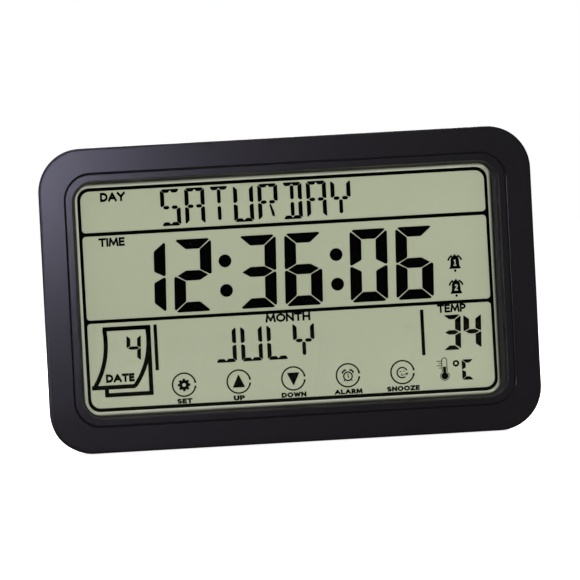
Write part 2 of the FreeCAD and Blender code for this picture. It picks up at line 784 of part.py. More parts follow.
def make_rear_housing():
    body = new_body("rear_housing")
    parting = case_outline(body, "rear_parting", d.parting_depth)
    back = case_outline(body, "rear_face", rear)
    loft(body, "rear_form", [back, parting])
    back_y = at_depth(rear)
    round_edges(body, "rear_edge", d.rear_edge_round, lambda edge: lies_at(edge, "y", back_y))
    trim_base(body, "rear_base")
    mouth = case_outline(body, "rear_mouth", d.parting_depth, inset=d.wall)
    floor = case_outline(body, "rear_floor", rear_inside, inset=d.wall)
    loft(body, "rear_hollow", [floor, mouth], "PartDesign::SubtractiveLoft")

    tongue = case_outline(body, "tongue_outline", d.parting_depth, inset=d.wall + d.fit_gap)
    thick = d.wall + d.fit_gap + d.tongue_wall
    share = d.parting_depth / d.case_depth
    half = d.case_width / 2 - d.side_taper * share - thick
    top = d.case_height - d.top_taper * share - thick
    corner = d.corner_radius - d.corner_taper * share - thick
    draw_rounded(tongue, -half, half, thick, top, corner)
    pad(body, "tongue", tongue, d.tongue_length, reverse=False)
    root = case_outline(body, "tongue_root_outline", d.parting_depth, inset=d.wall / 2)
    draw_rounded(root, -half, half, thick, top, corner)
    pad(body, "tongue_root", root, d.tongue_length)
    seam = case_outline(body, "seam_outline", d.parting_depth, inset=d.seam_depth)
    draw_rectangle(seam, -outside, outside, -d.corner_radius, d.case_height + d.corner_radius)
    pocket(body, "seam", seam, d.seam_width)

    bosses = facing(body, "rear_boss_circles", d.parting_depth)
    draw_screws(bosses, case_screw_places, d.screw_head_radius + d.screw_gap + d.boss_wall / 2)
    pad(body, "rear_bosses", bosses, rear_inside + d.wall / 2 - d.parting_depth)

    tub_outline = (
        tub_left - d.tub_wall,
        tub_right + d.tub_wall,
        d.tub_up - tub_rise - d.tub_wall,
        d.tub_up + tub_rise + d.tub_wall,
    )
    inner_block(body, "tub_block", tub_inside - d.tub_floor, tub_outline)
    rail_half = door_half + d.door_tongue + d.slide_gap + d.tub_wall
    rail_outline = (
        tub_left - d.rail_run,
        door_end + d.tub_wall,
        d.tub_up - rail_half,
        d.tub_up + rail_half,
    )
    inner_block(body, "rail_block", door_inner - d.tub_wall, rail_outline)
    stand_top = d.stand_pivot_up + d.stand_thickness / 2 + d.stand_gap
    stand_low = d.stand_tip_up - d.stand_gap
    stand_wide = stand_half + d.stand_gap
    stand_outline = (
        -stand_wide - d.stand_block_wall,
        stand_wide + d.stand_block_wall,
        d.wall / 2,
        stand_top + d.stand_block_wall,
    )
    inner_block(body, "stand_block", stand_recess - d.stand_skin, stand_outline)
    scoop_depth = rear - stand_recess
    scoops = facing(body, "scoop_block_circles", stand_recess - d.stand_skin)
    for across in both_sides(stand_wide):
        draw_circle(scoops, across, d.scoop_up, d.scoop_radius + d.stand_skin)
    pad(body, "scoop_blocks", scoops, rear - d.wall / 2 - (stand_recess - d.stand_skin))
    keyhole_front = rear - d.wall - d.keyhole_depth - d.keyhole_wall
    head_room = d.keyhole_head + d.fit_gap
    for name, across in zip(("left_keyhole", "right_keyhole"), both_sides(d.keyhole_across)):
        wide = head_room + d.keyhole_wall
        low = d.keyhole_up - wide
        high = d.keyhole_up + d.keyhole_rise + wide
        inner_block(body, name + "_block", keyhole_front, (across - wide, across + wide, low, high))

    # cuts from the rear
    counterbores = facing(body, "counterbore_circles", rear)
    draw_screws(counterbores, case_screw_places, d.screw_head_radius + d.screw_gap)
    depth = rear - d.parting_depth - d.boss_seat
    pocket(body, "counterbores", counterbores, depth, reverse=True)
    shanks = facing(body, "shank_hole_circles", rear)
    draw_screws(shanks, case_screw_places, d.screw_radius + d.fit_gap)
    pocket(body, "shank_holes", shanks, rear - d.parting_depth, reverse=True)

    tub = facing(body, "tub_outline", rear)
    draw_rectangle(tub, tub_left, tub_right, d.tub_up - tub_rise, d.tub_up + tub_rise)
    pocket(body, "tub", tub, rear - tub_inside, reverse=True)
    slit = facing(body, "contact_slit_outline", tub_inside)
    for across, up in single_contact_places():
        tail = d.contact_tail / 2 + d.fit_gap
        low = across[0] - d.fit_gap
        high = across[1] + d.fit_gap
        draw_rectangle(slit, low, high, up - tail, up + tail)
    pocket(body, "contact_slits", slit, d.tub_floor, reverse=True)
    channel = facing(body, "door_channel_outline", rear)
    wide = door_half + d.slide_gap
    draw_rectangle(channel, -outside, door_end + d.slide_gap, d.tub_up - wide, d.tub_up + wide)
    pocket(body, "door_channel", channel, d.door_thickness + d.slide_gap, reverse=True)
    rails = sideways(body, "rail_outline", -outside)
    wide = door_half + d.door_tongue + d.slide_gap
    deep = at_depth(door_inner - d.slide_gap)
    shallow = at_depth(door_inner + d.door_tongue_thickness + d.slide_gap)
    draw_rectangle(rails, deep, shallow, d.tub_up - wide, d.tub_up + wide)
    pocket(body, "rails", rails, outside + door_end + d.slide_gap, reverse=True)

    recess = facing(body, "stand_recess_outline", rear)
    draw_rectangle(recess, -stand_wide, stand_wide, stand_low, stand_top)
    pocket(body, "stand_recess", recess, scoop_depth, reverse=True)
    scoop_cuts = facing(body, "scoop_circles", rear)
    for across in both_sides(stand_wide):
        draw_circle(scoop_cuts, across, d.scoop_up, d.scoop_radius)
    pocket(body, "scoops", scoop_cuts, scoop_depth, reverse=True)
    pin_hole = sideways(body, "pin_hole_circle", ZERO)
    draw_circle(pin_hole, at_depth(pivot_depth), d.stand_pivot_up, d.pin_radius + d.thread_gap)
    pocket(body, "pin_hole", pin_hole, pin_length(), midplane=True)

    heads = facing(body, "keyhole_circles", rear)
    for across in both_sides(d.keyhole_across):
        draw_circle(heads, across, d.keyhole_up, d.keyhole_head)
    pocket(body, "keyhole_heads", heads, d.wall + d.keyhole_depth, reverse=True)
    slots = facing(body, "keyhole_slot_outlines", rear)
    for across in both_sides(d.keyhole_across):
        left = across - d.keyhole_slot
        right = across + d.keyhole_slot
        high = d.keyhole_up + d.keyhole_rise + d.keyhole_slot
        draw_rounded(slots, left, right, d.keyhole_up, high, d.keyhole_slot * ROUND_END)
    pocket(body, "keyhole_slots", slots, d.wall, reverse=True)
    undercuts = facing(body, "keyhole_undercut_outlines", rear_inside)
    for across in both_sides(d.keyhole_across):
        high = d.keyhole_up + d.keyhole_rise + head_room
        draw_rounded(
            undercuts,
            across - head_room,
            across + head_room,
            d.keyhole_up - head_room,
            high,
            head_room * ROUND_END,
        )
    pocket(body, "keyhole_undercuts", undercuts, d.keyhole_depth, reverse=True)

    sound = facing(body, "sound_hole_circles", rear)
    for across, up in sound_places():
        draw_circle(sound, across, up, d.sound_hole_radius)
    pocket(body, "sound_holes", sound, d.wall + d.cut_past, reverse=True)
    vents = facing(body, "vent_outlines", rear)
    for n in (-2, -1, 0, 1, 2):
        up = d.vent_up + d.vent_pitch * n
        half = d.vent_width / 2
        across = (d.vent_across - d.vent_length / 2, d.vent_across + d.vent_length / 2)
        draw_rounded(vents, *across, up - half, up + half, half * ROUND_END)
    pocket(body, "vents", vents, d.wall + d.cut_past, reverse=True)


def sound_places():
    """A hexagon of holes with one in its middle, two rings deep."""
    for row in (-2, -1, 0, 1, 2):
        count = 5 - abs(row)
        for n in range(count):
            across = d.sound_across + d.sound_pitch * (n - (count - 1) / 2)
            yield across, d.sound_up + d.sound_pitch * (row * HEXAGON_ROW)


# ---------------------------------------------------------------- cells and contacts


def single_contact_places():
    """X span and height of the two contacts that feed the board."""
    left = (tub_left, tub_left + d.contact_thickness)
    right = (tub_right - d.contact_thickness, tub_right)
    return [(left, d.tub_up + d.cell_pitch), (right, d.tub_up - d.cell_pitch)]


def make_contacts():
    """Two single plates at the ends of the row of cells and two that link neighbours."""
    body = new_body("battery_contacts")
    half = d.contact_width / 2
    deep = (cell_middle - d.contact_height / 2, cell_middle + d.contact_height / 2)
    left = (tub_left, tub_left + d.contact_thickness)
    right = (tub_right - d.contact_thickness, tub_right)
    spans = [
        (left, d.tub_up + d.cell_pitch - half, d.tub_up + d.cell_pitch + half),
        (left, d.tub_up - d.cell_pitch - half, d.tub_up + half),
        (right, d.tub_up - half, d.tub_up + d.cell_pitch + half),
        (right, d.tub_up - d.cell_pitch - half, d.tub_up - d.cell_pitch + half),
    ]
    plates = facing(body, "contact_outlines", deep[0])
    for across, low, high in spans:
        draw_rectangle(plates, *across, low, high)
    pad(body, "contact_plates", plates, deep[1] - deep[0])
    tails = facing(body, "contact_tail_outlines", board_rear)
    for across, up in single_contact_places():
        tail = d.contact_tail / 2
        draw_rectangle(tails, *across, up - tail, up + tail)
    pad(body, "contact_tails", tails, deep[0] - board_rear)


def cell_heights():
    return {
        "battery_upper": (d.tub_up + d.cell_pitch, -1),
        "battery_middle": (d.tub_up, 1),
        "battery_lower": (d.tub_up - d.cell_pitch, -1),
    }


def make_cells():
    """Three cells side by side; neighbours point opposite ways, tip at the given end."""
    for label, (up, tip) in cell_heights().items():
        body = new_body(label)
        if tip > 0:
            nub_end = tub_right - d.contact_thickness
        else:
            nub_end = tub_left + d.contact_thickness
        shoulder = nub_end - d.cell_nub_length * tip
        base = nub_end - d.cell_length * tip
        can = sideways(body, label + "_can_circle", base)
        draw_circle(can, at_depth(cell_middle), up, d.cell_radius)
        length = d.cell_length - d.cell_nub_length
        pad(body, label + "_can", can, length, reverse=tip < 0)
        nub = sideways(body, label + "_nub_circle", shoulder)
        draw_circle(nub, at_depth(cell_middle), up, d.cell_nub_radius)
        pad(body, label + "_nub", nub, d.cell_nub_length, reverse=tip < 0)


def make_springs():
    """Conical coils, narrow at each cell's flat end and wide at its contact."""
    springs = []
    for label, (up, tip) in cell_heights().items():
        body = new_body(label + "_spring", kept=False)
        if tip > 0:
            plate_face = tub_left + d.contact_thickness
        else:
            plate_face = tub_right - d.contact_thickness
        start = plate_face + (d.spring_length - d.spring_wire / 2) * tip
        section = new_sketch(body, label + "_wire", "XY_Plane", up)
        middle = at_depth(cell_middle)
        draw_circle(section, start, middle - d.spring_tip_radius, d.spring_wire / 2)
        ends = [Vector(end.value, middle.value, 0) for end in (start, plate_face)]
        axis = section.addGeometry(Part.LineSegment(*ends), True)
        fix_point(section, axis, 1, start, middle)
        fix_point(section, axis, 2, plate_face, middle)
        coil = body.newObject("PartDesign::AdditiveHelix", label + "_coil")
        coil.Profile = section
        coil.ReferenceAxis = (section, ["Axis0"])
        coil.Mode = 0
        bind(coil, "Pitch", d.spring_pitch)
        bind(coil, "Height", d.spring_length - d.spring_wire)
        bind(coil, "Angle", d.spring_taper)
        finish_feature(body, coil)
        springs.append(body)
    group("battery_springs", springs)


# ---------------------------------------------------------------- sliding door


def make_battery_door():
    """Part of the rear skin, with a tongue along each long edge that runs in the rails."""
    body = new_body("battery_door")
    parting = case_outline(body, "door_parting", d.parting_depth)
    back = case_outline(body, "door_back", rear)
    loft(body, "door_form", [back, parting])
    back_y = at_depth(rear)
    round_edges(body, "door_edge", d.rear_edge_round, lambda edge: lies_at(edge, "y", back_y))
    front = facing(body, "door_front_outline", d.parting_depth)
    draw_rectangle(front, -outside, outside, -d.corner_radius, d.case_height + d.corner_radius)
    pocket(body, "door_inner_face", front, door_inner - d.parting_depth)
    for name, wide, length in (
        ("door_tongues", door_half + d.door_tongue, d.door_thickness),
        ("door_skin", door_half, d.door_thickness - d.door_tongue_thickness),
    ):
        around = facing(body, name + "_outline", rear)
        draw_rectangle(around, -outside, outside, -d.corner_radius, d.case_height + d.corner_radius)
        edge = outside - d.corner_radius / 2
        draw_rectangle(around, -edge, door_end, d.tub_up - wide, d.tub_up + wide)
        pocket(body, name, around, length, reverse=True)
    grips = facing(body, "grip_outlines", rear)
    for n in range(int(d.grip_count.value)):
        left = tub_left + d.grip_pitch * n
        half = d.grip_length / 2
        radius = d.grip_width / 2 * ROUND_END
        draw_rounded(grips, left, left + d.grip_width, d.tub_up - half, d.tub_up + half, radius)
    pocket(body, "grips", grips, d.grip_depth, reverse=True)


# ---------------------------------------------------------------- fold-out stand


def pin_length():
    return d.stand_width + (d.stand_gap + d.pin_bite) * 2


def make_stand():
    body = new_body("stand_leg")
    radius = d.stand_thickness / 2
    axis_y = at_depth(pivot_depth)
    knuckle = sideways(body, "knuckle_circle", ZERO)
    draw_circle(knuckle, axis_y, d.stand_pivot_up, radius)
    pad(body, "knuckle", knuckle, d.stand_width, reverse=False, midplane=True)
    side = sideways(body, "leg_outline", ZERO)
    draw_rectangle(side, axis_y - radius, axis_y + radius, d.stand_tip_up, d.stand_pivot_up)
    pad(body, "leg", side, d.stand_width, reverse=False, midplane=True)

    def low_corner(edge):
        at_side = any(lies_at(edge, "x", across) for across in both_sides(stand_half))
        return at_side and edge.BoundBox.ZMax < d.stand_tip_up.value + 1e-3

    round_edges(body, "leg_corners", d.stand_corner, low_corner)

    cells = facing(body, "rib_outlines", stand_front)
    columns, rows = int(d.rib_columns.value), int(d.rib_rows.value)
    span = d.stand_width - d.stand_rib * 2
    cell_wide = (span - d.stand_rib * (columns - 1)) / columns
    low = d.stand_tip_up + d.stand_corner
    high = d.stand_pivot_up - radius - d.stand_rib
    cell_high = (high - low - d.stand_rib * (rows - 1)) / rows
    for column in range(columns):
        left = -stand_half + d.stand_rib + (cell_wide + d.stand_rib) * column
        for line in range(rows):
            base = low + (cell_high + d.stand_rib) * line
            draw_rounded(cells, left, left + cell_wide, base, base + cell_high, d.stand_rib)
    pocket(body, "rib_cells", cells, d.stand_thickness - d.stand_skin)
    bore = sideways(body, "stand_bore_circle", ZERO)
    draw_circle(bore, axis_y, d.stand_pivot_up, d.pin_radius + d.pin_gap)
    pocket(body, "stand_bore", bore, d.stand_width + d.stand_gap, midplane=True)

    pin = new_body("stand_pin")
    circle = sideways(pin, "pin_circle", ZERO)
    draw_circle(circle, axis_y, d.stand_pivot_up, d.pin_radius)
    pad(pin, "pin_rod", circle, pin_length(), reverse=False, midplane=True)


# ---------------------------------------------------------------- the whole clock

make_front_housing()
make_window()
make_touch_film()
make_display()
make_zebra_strips()
make_lcd_holder()
make_main_board()
make_board_parts()
make_screws(
    "board_screws",
    board_screw_places,
    board_rear,
    (d.board_screw_radius, d.board_screw_length),
    (d.board_screw_head, d.board_screw_head_height),
    d.board_screw_dome,
)
make_rear_housing()
make_screws(
    "case_screws",
    case_screw_places,
    d.parting_depth + d.boss_seat,
    (d.screw_radius, d.screw_length),
    (d.screw_head_radius, d.screw_head_height),
    d.screw_dome,
)
make_contacts()
make_cells()
make_springs()
make_battery_door()
make_stand()

document.recompute()
broken = [thing.Name for thing in document.Objects if {"Invalid", "Error"} & set(thing.State)]
broken += [label for label, piece in pieces.items() if piece.Shape.isNull() or not piece.Shape.isValid()]
if broken:
    raise SystemExit("these did not build: " + ", ".join(broken))

os.makedirs("parts", exist_ok=True)
for label, piece in pieces.items():
    piece.Shape.exportStep(f"parts/{label}.step")
    solids = len(piece.Shape.Solids)
    print(f"{label}: {solids} solid(s), {piece.Shape.Volume / 1000:.2f} cm3")
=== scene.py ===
import math

import bpy
from mathutils import Matrix, Vector


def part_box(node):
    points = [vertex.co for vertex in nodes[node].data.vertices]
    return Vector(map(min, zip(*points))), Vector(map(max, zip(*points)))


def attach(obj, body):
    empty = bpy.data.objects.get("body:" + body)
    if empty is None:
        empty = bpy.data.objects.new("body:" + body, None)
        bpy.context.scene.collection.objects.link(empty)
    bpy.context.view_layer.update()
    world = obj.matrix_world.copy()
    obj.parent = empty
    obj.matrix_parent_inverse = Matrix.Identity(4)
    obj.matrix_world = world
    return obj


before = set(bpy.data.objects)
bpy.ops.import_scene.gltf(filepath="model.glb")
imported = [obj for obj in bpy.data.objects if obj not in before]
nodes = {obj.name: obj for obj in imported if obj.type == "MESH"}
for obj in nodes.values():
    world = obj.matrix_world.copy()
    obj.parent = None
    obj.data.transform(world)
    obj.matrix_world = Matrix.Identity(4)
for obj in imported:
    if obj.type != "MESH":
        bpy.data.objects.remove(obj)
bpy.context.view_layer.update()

MM = 0.001

# The middle of the front stands MIDDLE_UP above the foot. The display's drawing reaches
# ART_HALF to each side of its own middle and ART_RISE up and down from it, and that middle
# lies ART_ASIDE to the right and ART_DOWN below. Sizes and places are in mm, but those of
# the floor, the lights and the camera are in metres.
MIDDLE_UP = 69.0
ART_HALF = 93.42
ART_RISE = 49.86
ART_ASIDE = -0.14
ART_DOWN = 0.05

# ------------------------------------------------------------------ colours and materials

# Painted shade: the case's sheen falls from the first of two levels to the second between these
# distances below and to the right of the middle, standing in for the light falling off there.
PAINTED_SHADE_DOWN = (44.0, 54.0)
PAINTED_SHADE_RIGHT = (0.0, 120.0)
SHEEN = (0.5, 0.36)

# Painted light: the film turns paler between two distances below the middle, making up for less
# light reaching it low down. It has a pale rim past the frame line. A painted shadow of the frame
# darkens its edge between two distances from the middle on each side: right, left, top and bottom.
PAINTED_LIGHT_DOWN = (8.0, 50.0)
RIM_WIDTH = 0.9
PAINTED_SHADOW_EDGES = [(93.9, 95.3), (95.0, 96.4), (50.6, 52.2), (51.15, 52.4)]

# Where a cell's copper-coloured band and its bare steel end, from its tip.
BAND_END = (11.3, 11.0)
STEEL_END = (1.1, 1.0)


def colour(code):
    """An sRGB hex code as a linear colour."""
    values = [int(code[i : i + 2], 16) / 255 for i in (0, 2, 4)]
    linear = [v / 12.92 if v <= 0.04045 else ((v + 0.055) / 1.055) ** 2.4 for v in values]
    return (*linear, 1.0)


def add(tree, kind, settings=None, inputs=None, links=None):
    """One shader node with its settings, its plain inputs and what feeds its other inputs."""
    node = tree.nodes.new(kind)
    for name, value in (settings or {}).items():
        setattr(node, name, value)
    for name, value in (inputs or {}).items():
        node.inputs[name].default_value = value
    for name, source in (links or {}).items():
        tree.links.new(source, node.inputs[name])
    return node


def new_material(name):
    """An empty material: its node tree, its shader and its coordinates in metres."""
    material = bpy.data.materials.new(name)
    material.use_nodes = True
    tree = material.node_tree
    shader = tree.nodes["Principled BSDF"]
    place = add(tree, "ShaderNodeTexCoord").outputs["Object"]
    return material, tree, shader, place


def between(tree, factor, low, high):
    """A colour that runs from low to high as the factor runs from 0 to 1."""
    ramp = add(tree, "ShaderNodeValToRGB", links={"Fac": factor})
    ramp.color_ramp.elements[0].color = low
    ramp.color_ramp.elements[1].color = high
    return ramp.outputs["Color"]


def past(tree, place, *sides):
    """How far a point lies between two distances, in mm, from a base on any of the axes."""
    axes = add(tree, "ShaderNodeSeparateXYZ", links={"Vector": place})
    factor = None
    for axis, base, way, start, end in sides:
        side = add(
            tree,
            "ShaderNodeMapRange",
            inputs={"From Min": (base + way * start) * MM, "From Max": (base + way * end) * MM},
            links={"Value": axes.outputs[axis]},
        ).outputs[0]
        if factor:
            links = {0: factor, 1: side}
            side = add(tree, "ShaderNodeMath", {"operation": "MAXIMUM"}, links=links).outputs[0]
        factor = side
    return factor


def blended(tree, factor, first, second):
    """A colour that runs from a source to a plain colour as the factor runs from 0 to 1."""
    links = {"Factor": factor, "A": first}
    return add(tree, "ShaderNodeMix", {"data_type": "RGBA"}, {"B": second}, links).outputs["Result"]


def spread(tree, factor, low, high):
    """A value that runs from low to high as the factor runs from 0 to 1."""
    ends = {"To Min": low, "To Max": high}
    return add(tree, "ShaderNodeMapRange", inputs=ends, links={"Value": factor}).outputs[0]


def grain(tree, place, size_mm, detail=2.0):
    """Soft noise whose grains are about one size across."""
    return add(
        tree,
        "ShaderNodeTexNoise",
        inputs={"Scale": 1 / (size_mm * MM), "Detail": detail, "Roughness": 0.5},
        links={"Vector": place},
    ).outputs["Fac"]


def roughen(tree, shader, height, depth_mm):
    """Fine relief of a real depth."""
    inputs = {"Strength": 1.0, "Distance": depth_mm * MM}
    bump = add(tree, "ShaderNodeBump", inputs=inputs, links={"Height": height})
    tree.links.new(bump.outputs["Normal"], shader.inputs["Normal"])


def mottled(name, dark, light, grain_mm, rough, ior=1.46, metallic=0.0, relief_mm=0.0):
    """A plain finish: one colour with a little variation, a spread of roughness and fine relief."""
    material, tree, shader, place = new_material(name)
    noise = grain(tree, place, grain_mm)
    tree.links.new(between(tree, noise, colour(dark), colour(light)), shader.inputs["Base Color"])
    tree.links.new(spread(tree, noise, *rough), shader.inputs["Roughness"])
    shader.inputs["IOR"].default_value = ior
    shader.inputs["Metallic"].default_value = metallic
    if relief_mm:
        roughen(tree, shader, noise, relief_mm)
    return material


def spark_textured_abs():
    """Black ABS with a fine spark-eroded grain; painted shade lowers its sheen downwards and rightwards.
    """
    material, tree, shader, place = new_material("spark_textured_black_abs")
    fine = grain(tree, place, 0.35, 3.0)
    cloud = grain(tree, place, 30.0)
    tree.links.new(between(tree, cloud, colour("120F11"), colour("151214")), shader.inputs["Base Color"])
    tree.links.new(spread(tree, fine, 0.40, 0.50), shader.inputs["Roughness"])
    shader.inputs["IOR"].default_value = 1.54
    # painted shade: the sheen is turned down low and to the right, where the light falls off
    painted_shade = past(tree, place, ("Z", MIDDLE_UP, -1, *PAINTED_SHADE_DOWN), ("X", 0, 1, *PAINTED_SHADE_RIGHT))
    tree.links.new(spread(tree, painted_shade, *SHEEN), shader.inputs["Specular IOR Level"])
    roughen(tree, shader, fine, 0.012)
    return material


def display_film():
    """Reflective grey-green film, paler past the frame line; painted light low, painted shadow at its
    edge.
    """
    material, tree, shader, place = new_material("grey_green_display_film")
    flecks = grain(tree, place, 1.2)
    inside = between(tree, flecks, colour("A8AE94"), colour("ABB197"))
    # painted light: the film is paler low down, where less light reaches it
    low = past(tree, place, ("Z", MIDDLE_UP, -1, *PAINTED_LIGHT_DOWN))
    inside = blended(tree, low, inside, colour("B6BCA1"))
    sides = [("X", 0, 1), ("X", 0, -1), ("Z", MIDDLE_UP, 1), ("Z", MIDDLE_UP, -1)]
    reaches = [ART_HALF, ART_HALF, ART_RISE, ART_RISE]
    rim = past(tree, place, *[(*side, far, far + RIM_WIDTH) for side, far in zip(sides, reaches)])
    # painted shadow of the frame on the film's edge, darkest at the very edge
    shade = past(tree, place, *[(*side, *edge) for side, edge in zip(sides, PAINTED_SHADOW_EDGES)])
    pale = blended(tree, rim, inside, colour("C6C9B4"))
    tree.links.new(blended(tree, shade, pale, colour("262821")), shader.inputs["Base Color"])
    shader.inputs["Roughness"].default_value = 0.6
    shader.inputs["Specular IOR Level"].default_value = 0.0
    return material


def liquid_crystal_ink():
    """Darkened liquid crystal: an even, dull black."""
    material = mottled("dark_liquid_crystal", "010102", "030303", 0.8, (0.6, 0.7))
    material.node_tree.nodes["Principled BSDF"].inputs["Specular IOR Level"].default_value = 0.0
    return material


def clear_acrylic():
    """Polished clear acrylic sheet: nearly invisible, with a faint gloss."""
    material, tree, shader, place = new_material("polished_clear_acrylic")
    haze = grain(tree, place, 18.0)
    tree.links.new(between(tree, haze, colour("10120F"), colour("161814")), shader.inputs["Base Color"])
    tree.links.new(spread(tree, haze, 0.08, 0.12), shader.inputs["Roughness"])
    shader.inputs["IOR"].default_value = 1.49
    shader.inputs["Alpha"].default_value = 0.03
    return material


def clear_polyester():
    """Clear polyester film with printed electrodes too faint to see."""
    material, tree, shader, place = new_material("clear_polyester_film")
    haze = grain(tree, place, 6.0)
    tree.links.new(between(tree, haze, colour("C4C8B4"), colour("D0D4C0")), shader.inputs["Base Color"])
    shader.inputs["Roughness"].default_value = 0.3
    shader.inputs["IOR"].default_value = 1.57
    shader.inputs["Alpha"].default_value = 0.008
    return material


def cell_jacket(cell, tip):
    """A cell's shrink sleeve: dark, with a copper-coloured band by its bare steel tip."""
    material, tree, shader, place = new_material("sleeved_" + cell)
    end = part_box(cell)[1 if tip > 0 else 0][0] / MM
    streaks = grain(tree, place, 9.0)
    sleeve = between(tree, streaks, colour("23262C"), colour("2C3038"))
    band = past(tree, place, ("X", end, -tip, *BAND_END))
    bare = past(tree, place, ("X", end, -tip, *STEEL_END))
    banded = blended(tree, band, sleeve, colour("A9622E"))
    tree.links.new(blended(tree, bare, banded, colour("C2C0BA")), shader.inputs["Base Color"])
    tree.links.new(bare, shader.inputs["Metallic"])
    tree.links.new(spread(tree, streaks, 0.22, 0.3), shader.inputs["Roughness"])
    shader.inputs["Coat Weight"].default_value = 0.5
    return material


case_black = spark_textured_abs()
film_green = display_film()
ink_black = liquid_crystal_ink()
acrylic = clear_acrylic()
polyester = clear_polyester()
# display glass: bright, thin and clear, seen only at its edges
glass = mottled("thin_float_glass", "B4BCA8", "BEC6B2", 12.0, (0.05, 0.08), 1.52)
# foam tape: dull black
tape_black = mottled("black_acrylic_foam_tape", "08080A", "0C0C0E", 0.6, (0.75, 0.85))
# contact strips: dark layered silicone
zebra_rubber = mottled("layered_silicone_rubber", "1E1E22", "34343A", 0.18, (0.6, 0.7), 1.43)
# holder: white moulded polystyrene with a soft gloss
holder_white = mottled("moulded_white_polystyrene", "D2D2CE", "DADAD6", 4.0, (0.4, 0.5), 1.59)
# board: green solder resist over glass fibre, showing the weave faintly
board_green = mottled("green_solder_resist", "0E3D20", "16532C", 0.6, (0.28, 0.36), 1.5, relief_mm=0.01)
# resin drop: black and glossy
resin_black = mottled("glossy_black_epoxy", "060607", "0C0C0D", 2.0, (0.12, 0.2), 1.55)
# chip body: dull black moulding
chip_black = mottled("moulded_chip_epoxy", "111113", "19191B", 0.3, (0.5, 0.6), relief_mm=0.005)
# crystal can: bright drawn nickel silver
can_bright = mottled("drawn_nickel_silver", "B9BBC0", "CCCED2", 1.5, (0.2, 0.3), metallic=1.0)
# capacitors: dark blue shrink sleeve
sleeve_blue = mottled("dark_blue_shrink_sleeve", "10142A", "171C38", 1.8, (0.3, 0.4))
# screws: zinc-plated steel, bright with a faint blue cast
zinc_steel = mottled("zinc_plated_steel", "8F9498", "B0B5B9", 0.5, (0.28, 0.4), metallic=1.0)
# contacts and coils: nickel-plated spring steel
nickel_steel = mottled("nickel_plated_spring_steel", "B3B0A6", "C6C3BA", 0.8, (0.2, 0.3), metallic=1.0)
# filler of the frame's groove: smooth black lacquer
groove_black = mottled("smooth_black_lacquer", "18171A", "1C1B1D", 2.0, (0.16, 0.2), 1.5)

FINISHES = {
    "front_housing": case_black,
    "rear_housing": case_black,
    "battery_door": case_black,
    "stand_leg": case_black,
    "display_window": acrylic,
    "window_tape": tape_black,
    "touch_film": polyester,
    "front_polarizer": film_green,
    "rear_polarizer": film_green,
    "lcd_front_glass": glass,
    "lcd_rear_glass": glass,
    "zebra_strips": zebra_rubber,
    "lcd_holder": holder_white,
    "main_board": board_green,
    "clock_chip": resin_black,
    "touch_chip": chip_black,
    "temperature_sensor": resin_black,
    "buzzer": chip_black,
    "quartz_crystal": can_bright,
    "capacitors": sleeve_blue,
    "board_screws": zinc_steel,
    "case_screws": zinc_steel,
    "stand_pin": zinc_steel,
    "battery_contacts": nickel_steel,
    "battery_springs": nickel_steel,
    "battery_upper": cell_jacket("battery_upper", -1),
    "battery_middle": cell_jacket("battery_middle", 1),
    "battery_lower": cell_jacket("battery_lower", -1),
}

for node_name, finish in FINISHES.items():
    slots = nodes[node_name].data.materials
    slots.clear()
    slots.append(finish)

# ------------------------------------------------------------------ flat shapes for the display

# The display's drawing is laid out in millimetres from the upper left corner of its
# frame line, along and down.
DRAWN_WIDTH = 187.0
DRAWN_HEIGHT = 101.27
# Its shapes have a thickness, whose middle floats a little in front of the film. Shapes that
# cross each other are set one step further out each, the leaf's strokes by a larger one.
INK_THICKNESS = 0.03
INK_GAP = 0.035
INK_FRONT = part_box("front_polarizer")[0][1] / MM - INK_GAP
LIFT_STEP = 0.0005
LEAF_STEP = 0.004
# Points of one piece that lie closer than this, in metres, are one point.
MERGED_WITHIN = 1e-7


def bend(start, pull, end, steps=10):
    """Points along a simple curve that is drawn towards one point."""
    first, middle, last = Vector(start), Vector(pull), Vector(end)
    curve = []
    for n in range(steps + 1):
        t = n / steps
        curve.append(tuple(first * (1 - t) ** 2 + middle * 2 * t * (1 - t) + last * t * t))
    return curve


def soften(points, radius, steps=3):
    """Round the corners of an outline by a short curve at each."""
    rounded = []
    count = len(points)
    for n in range(count):
        before, here, after = (Vector(points[(n + k) % count]) for k in (-1, 0, 1))
        reach = min(radius, (before - here).length * 0.45, (after - here).length * 0.45)
        start = here + (before - here).normalized() * reach
        end = here + (after - here).normalized() * reach
        rounded += bend(start, here, end, steps)
    return rounded


def rounded_box(left, top, right, bottom, radii, steps=6):
    """A box with its own radius at each corner, from the upper left one clockwise."""
    centres = [
        (left + radii[0], top + radii[0], 180),
        (right - radii[1], top + radii[1], 270),
        (right - radii[2], bottom - radii[2], 0),
        (left + radii[3], bottom - radii[3], 90),
    ]
    points = []
    for (x, y, start), radius in zip(centres, radii):
        for step in range(steps + 1):
            angle = math.radians(start + 90 * step / steps)
            points.append((x + radius * math.cos(angle), y + radius * math.sin(angle)))
    return points


def disc(x, y, radius, steps=40):
    """The outline of a round spot."""
    turn = 2 * math.pi / steps
    return [(x + radius * math.cos(n * turn), y + radius * math.sin(n * turn)) for n in range(steps)]


def oval(x, y, across, up, start, end, steps=14):
    """Points along part of an oval, in degrees clockwise from the right."""
    angles = [math.radians(start + (end - start) * n / steps) for n in range(steps + 1)]
    return [(x + across * math.cos(a), y + up * math.sin(a)) for a in angles]


def arc(x, y, radius, start, end, steps=24):
    """Points along part of a circle, in degrees clockwise from the right."""
    return oval(x, y, radius, radius, start, end, steps)


def flipped_across(points, width):
    """An outline turned left for right within a width."""
    return [(width - x, y) for x, y in points]


def flipped_down(points, height):
    """An outline turned upside down within a height."""
    return [(x, height - y) for x, y in points]


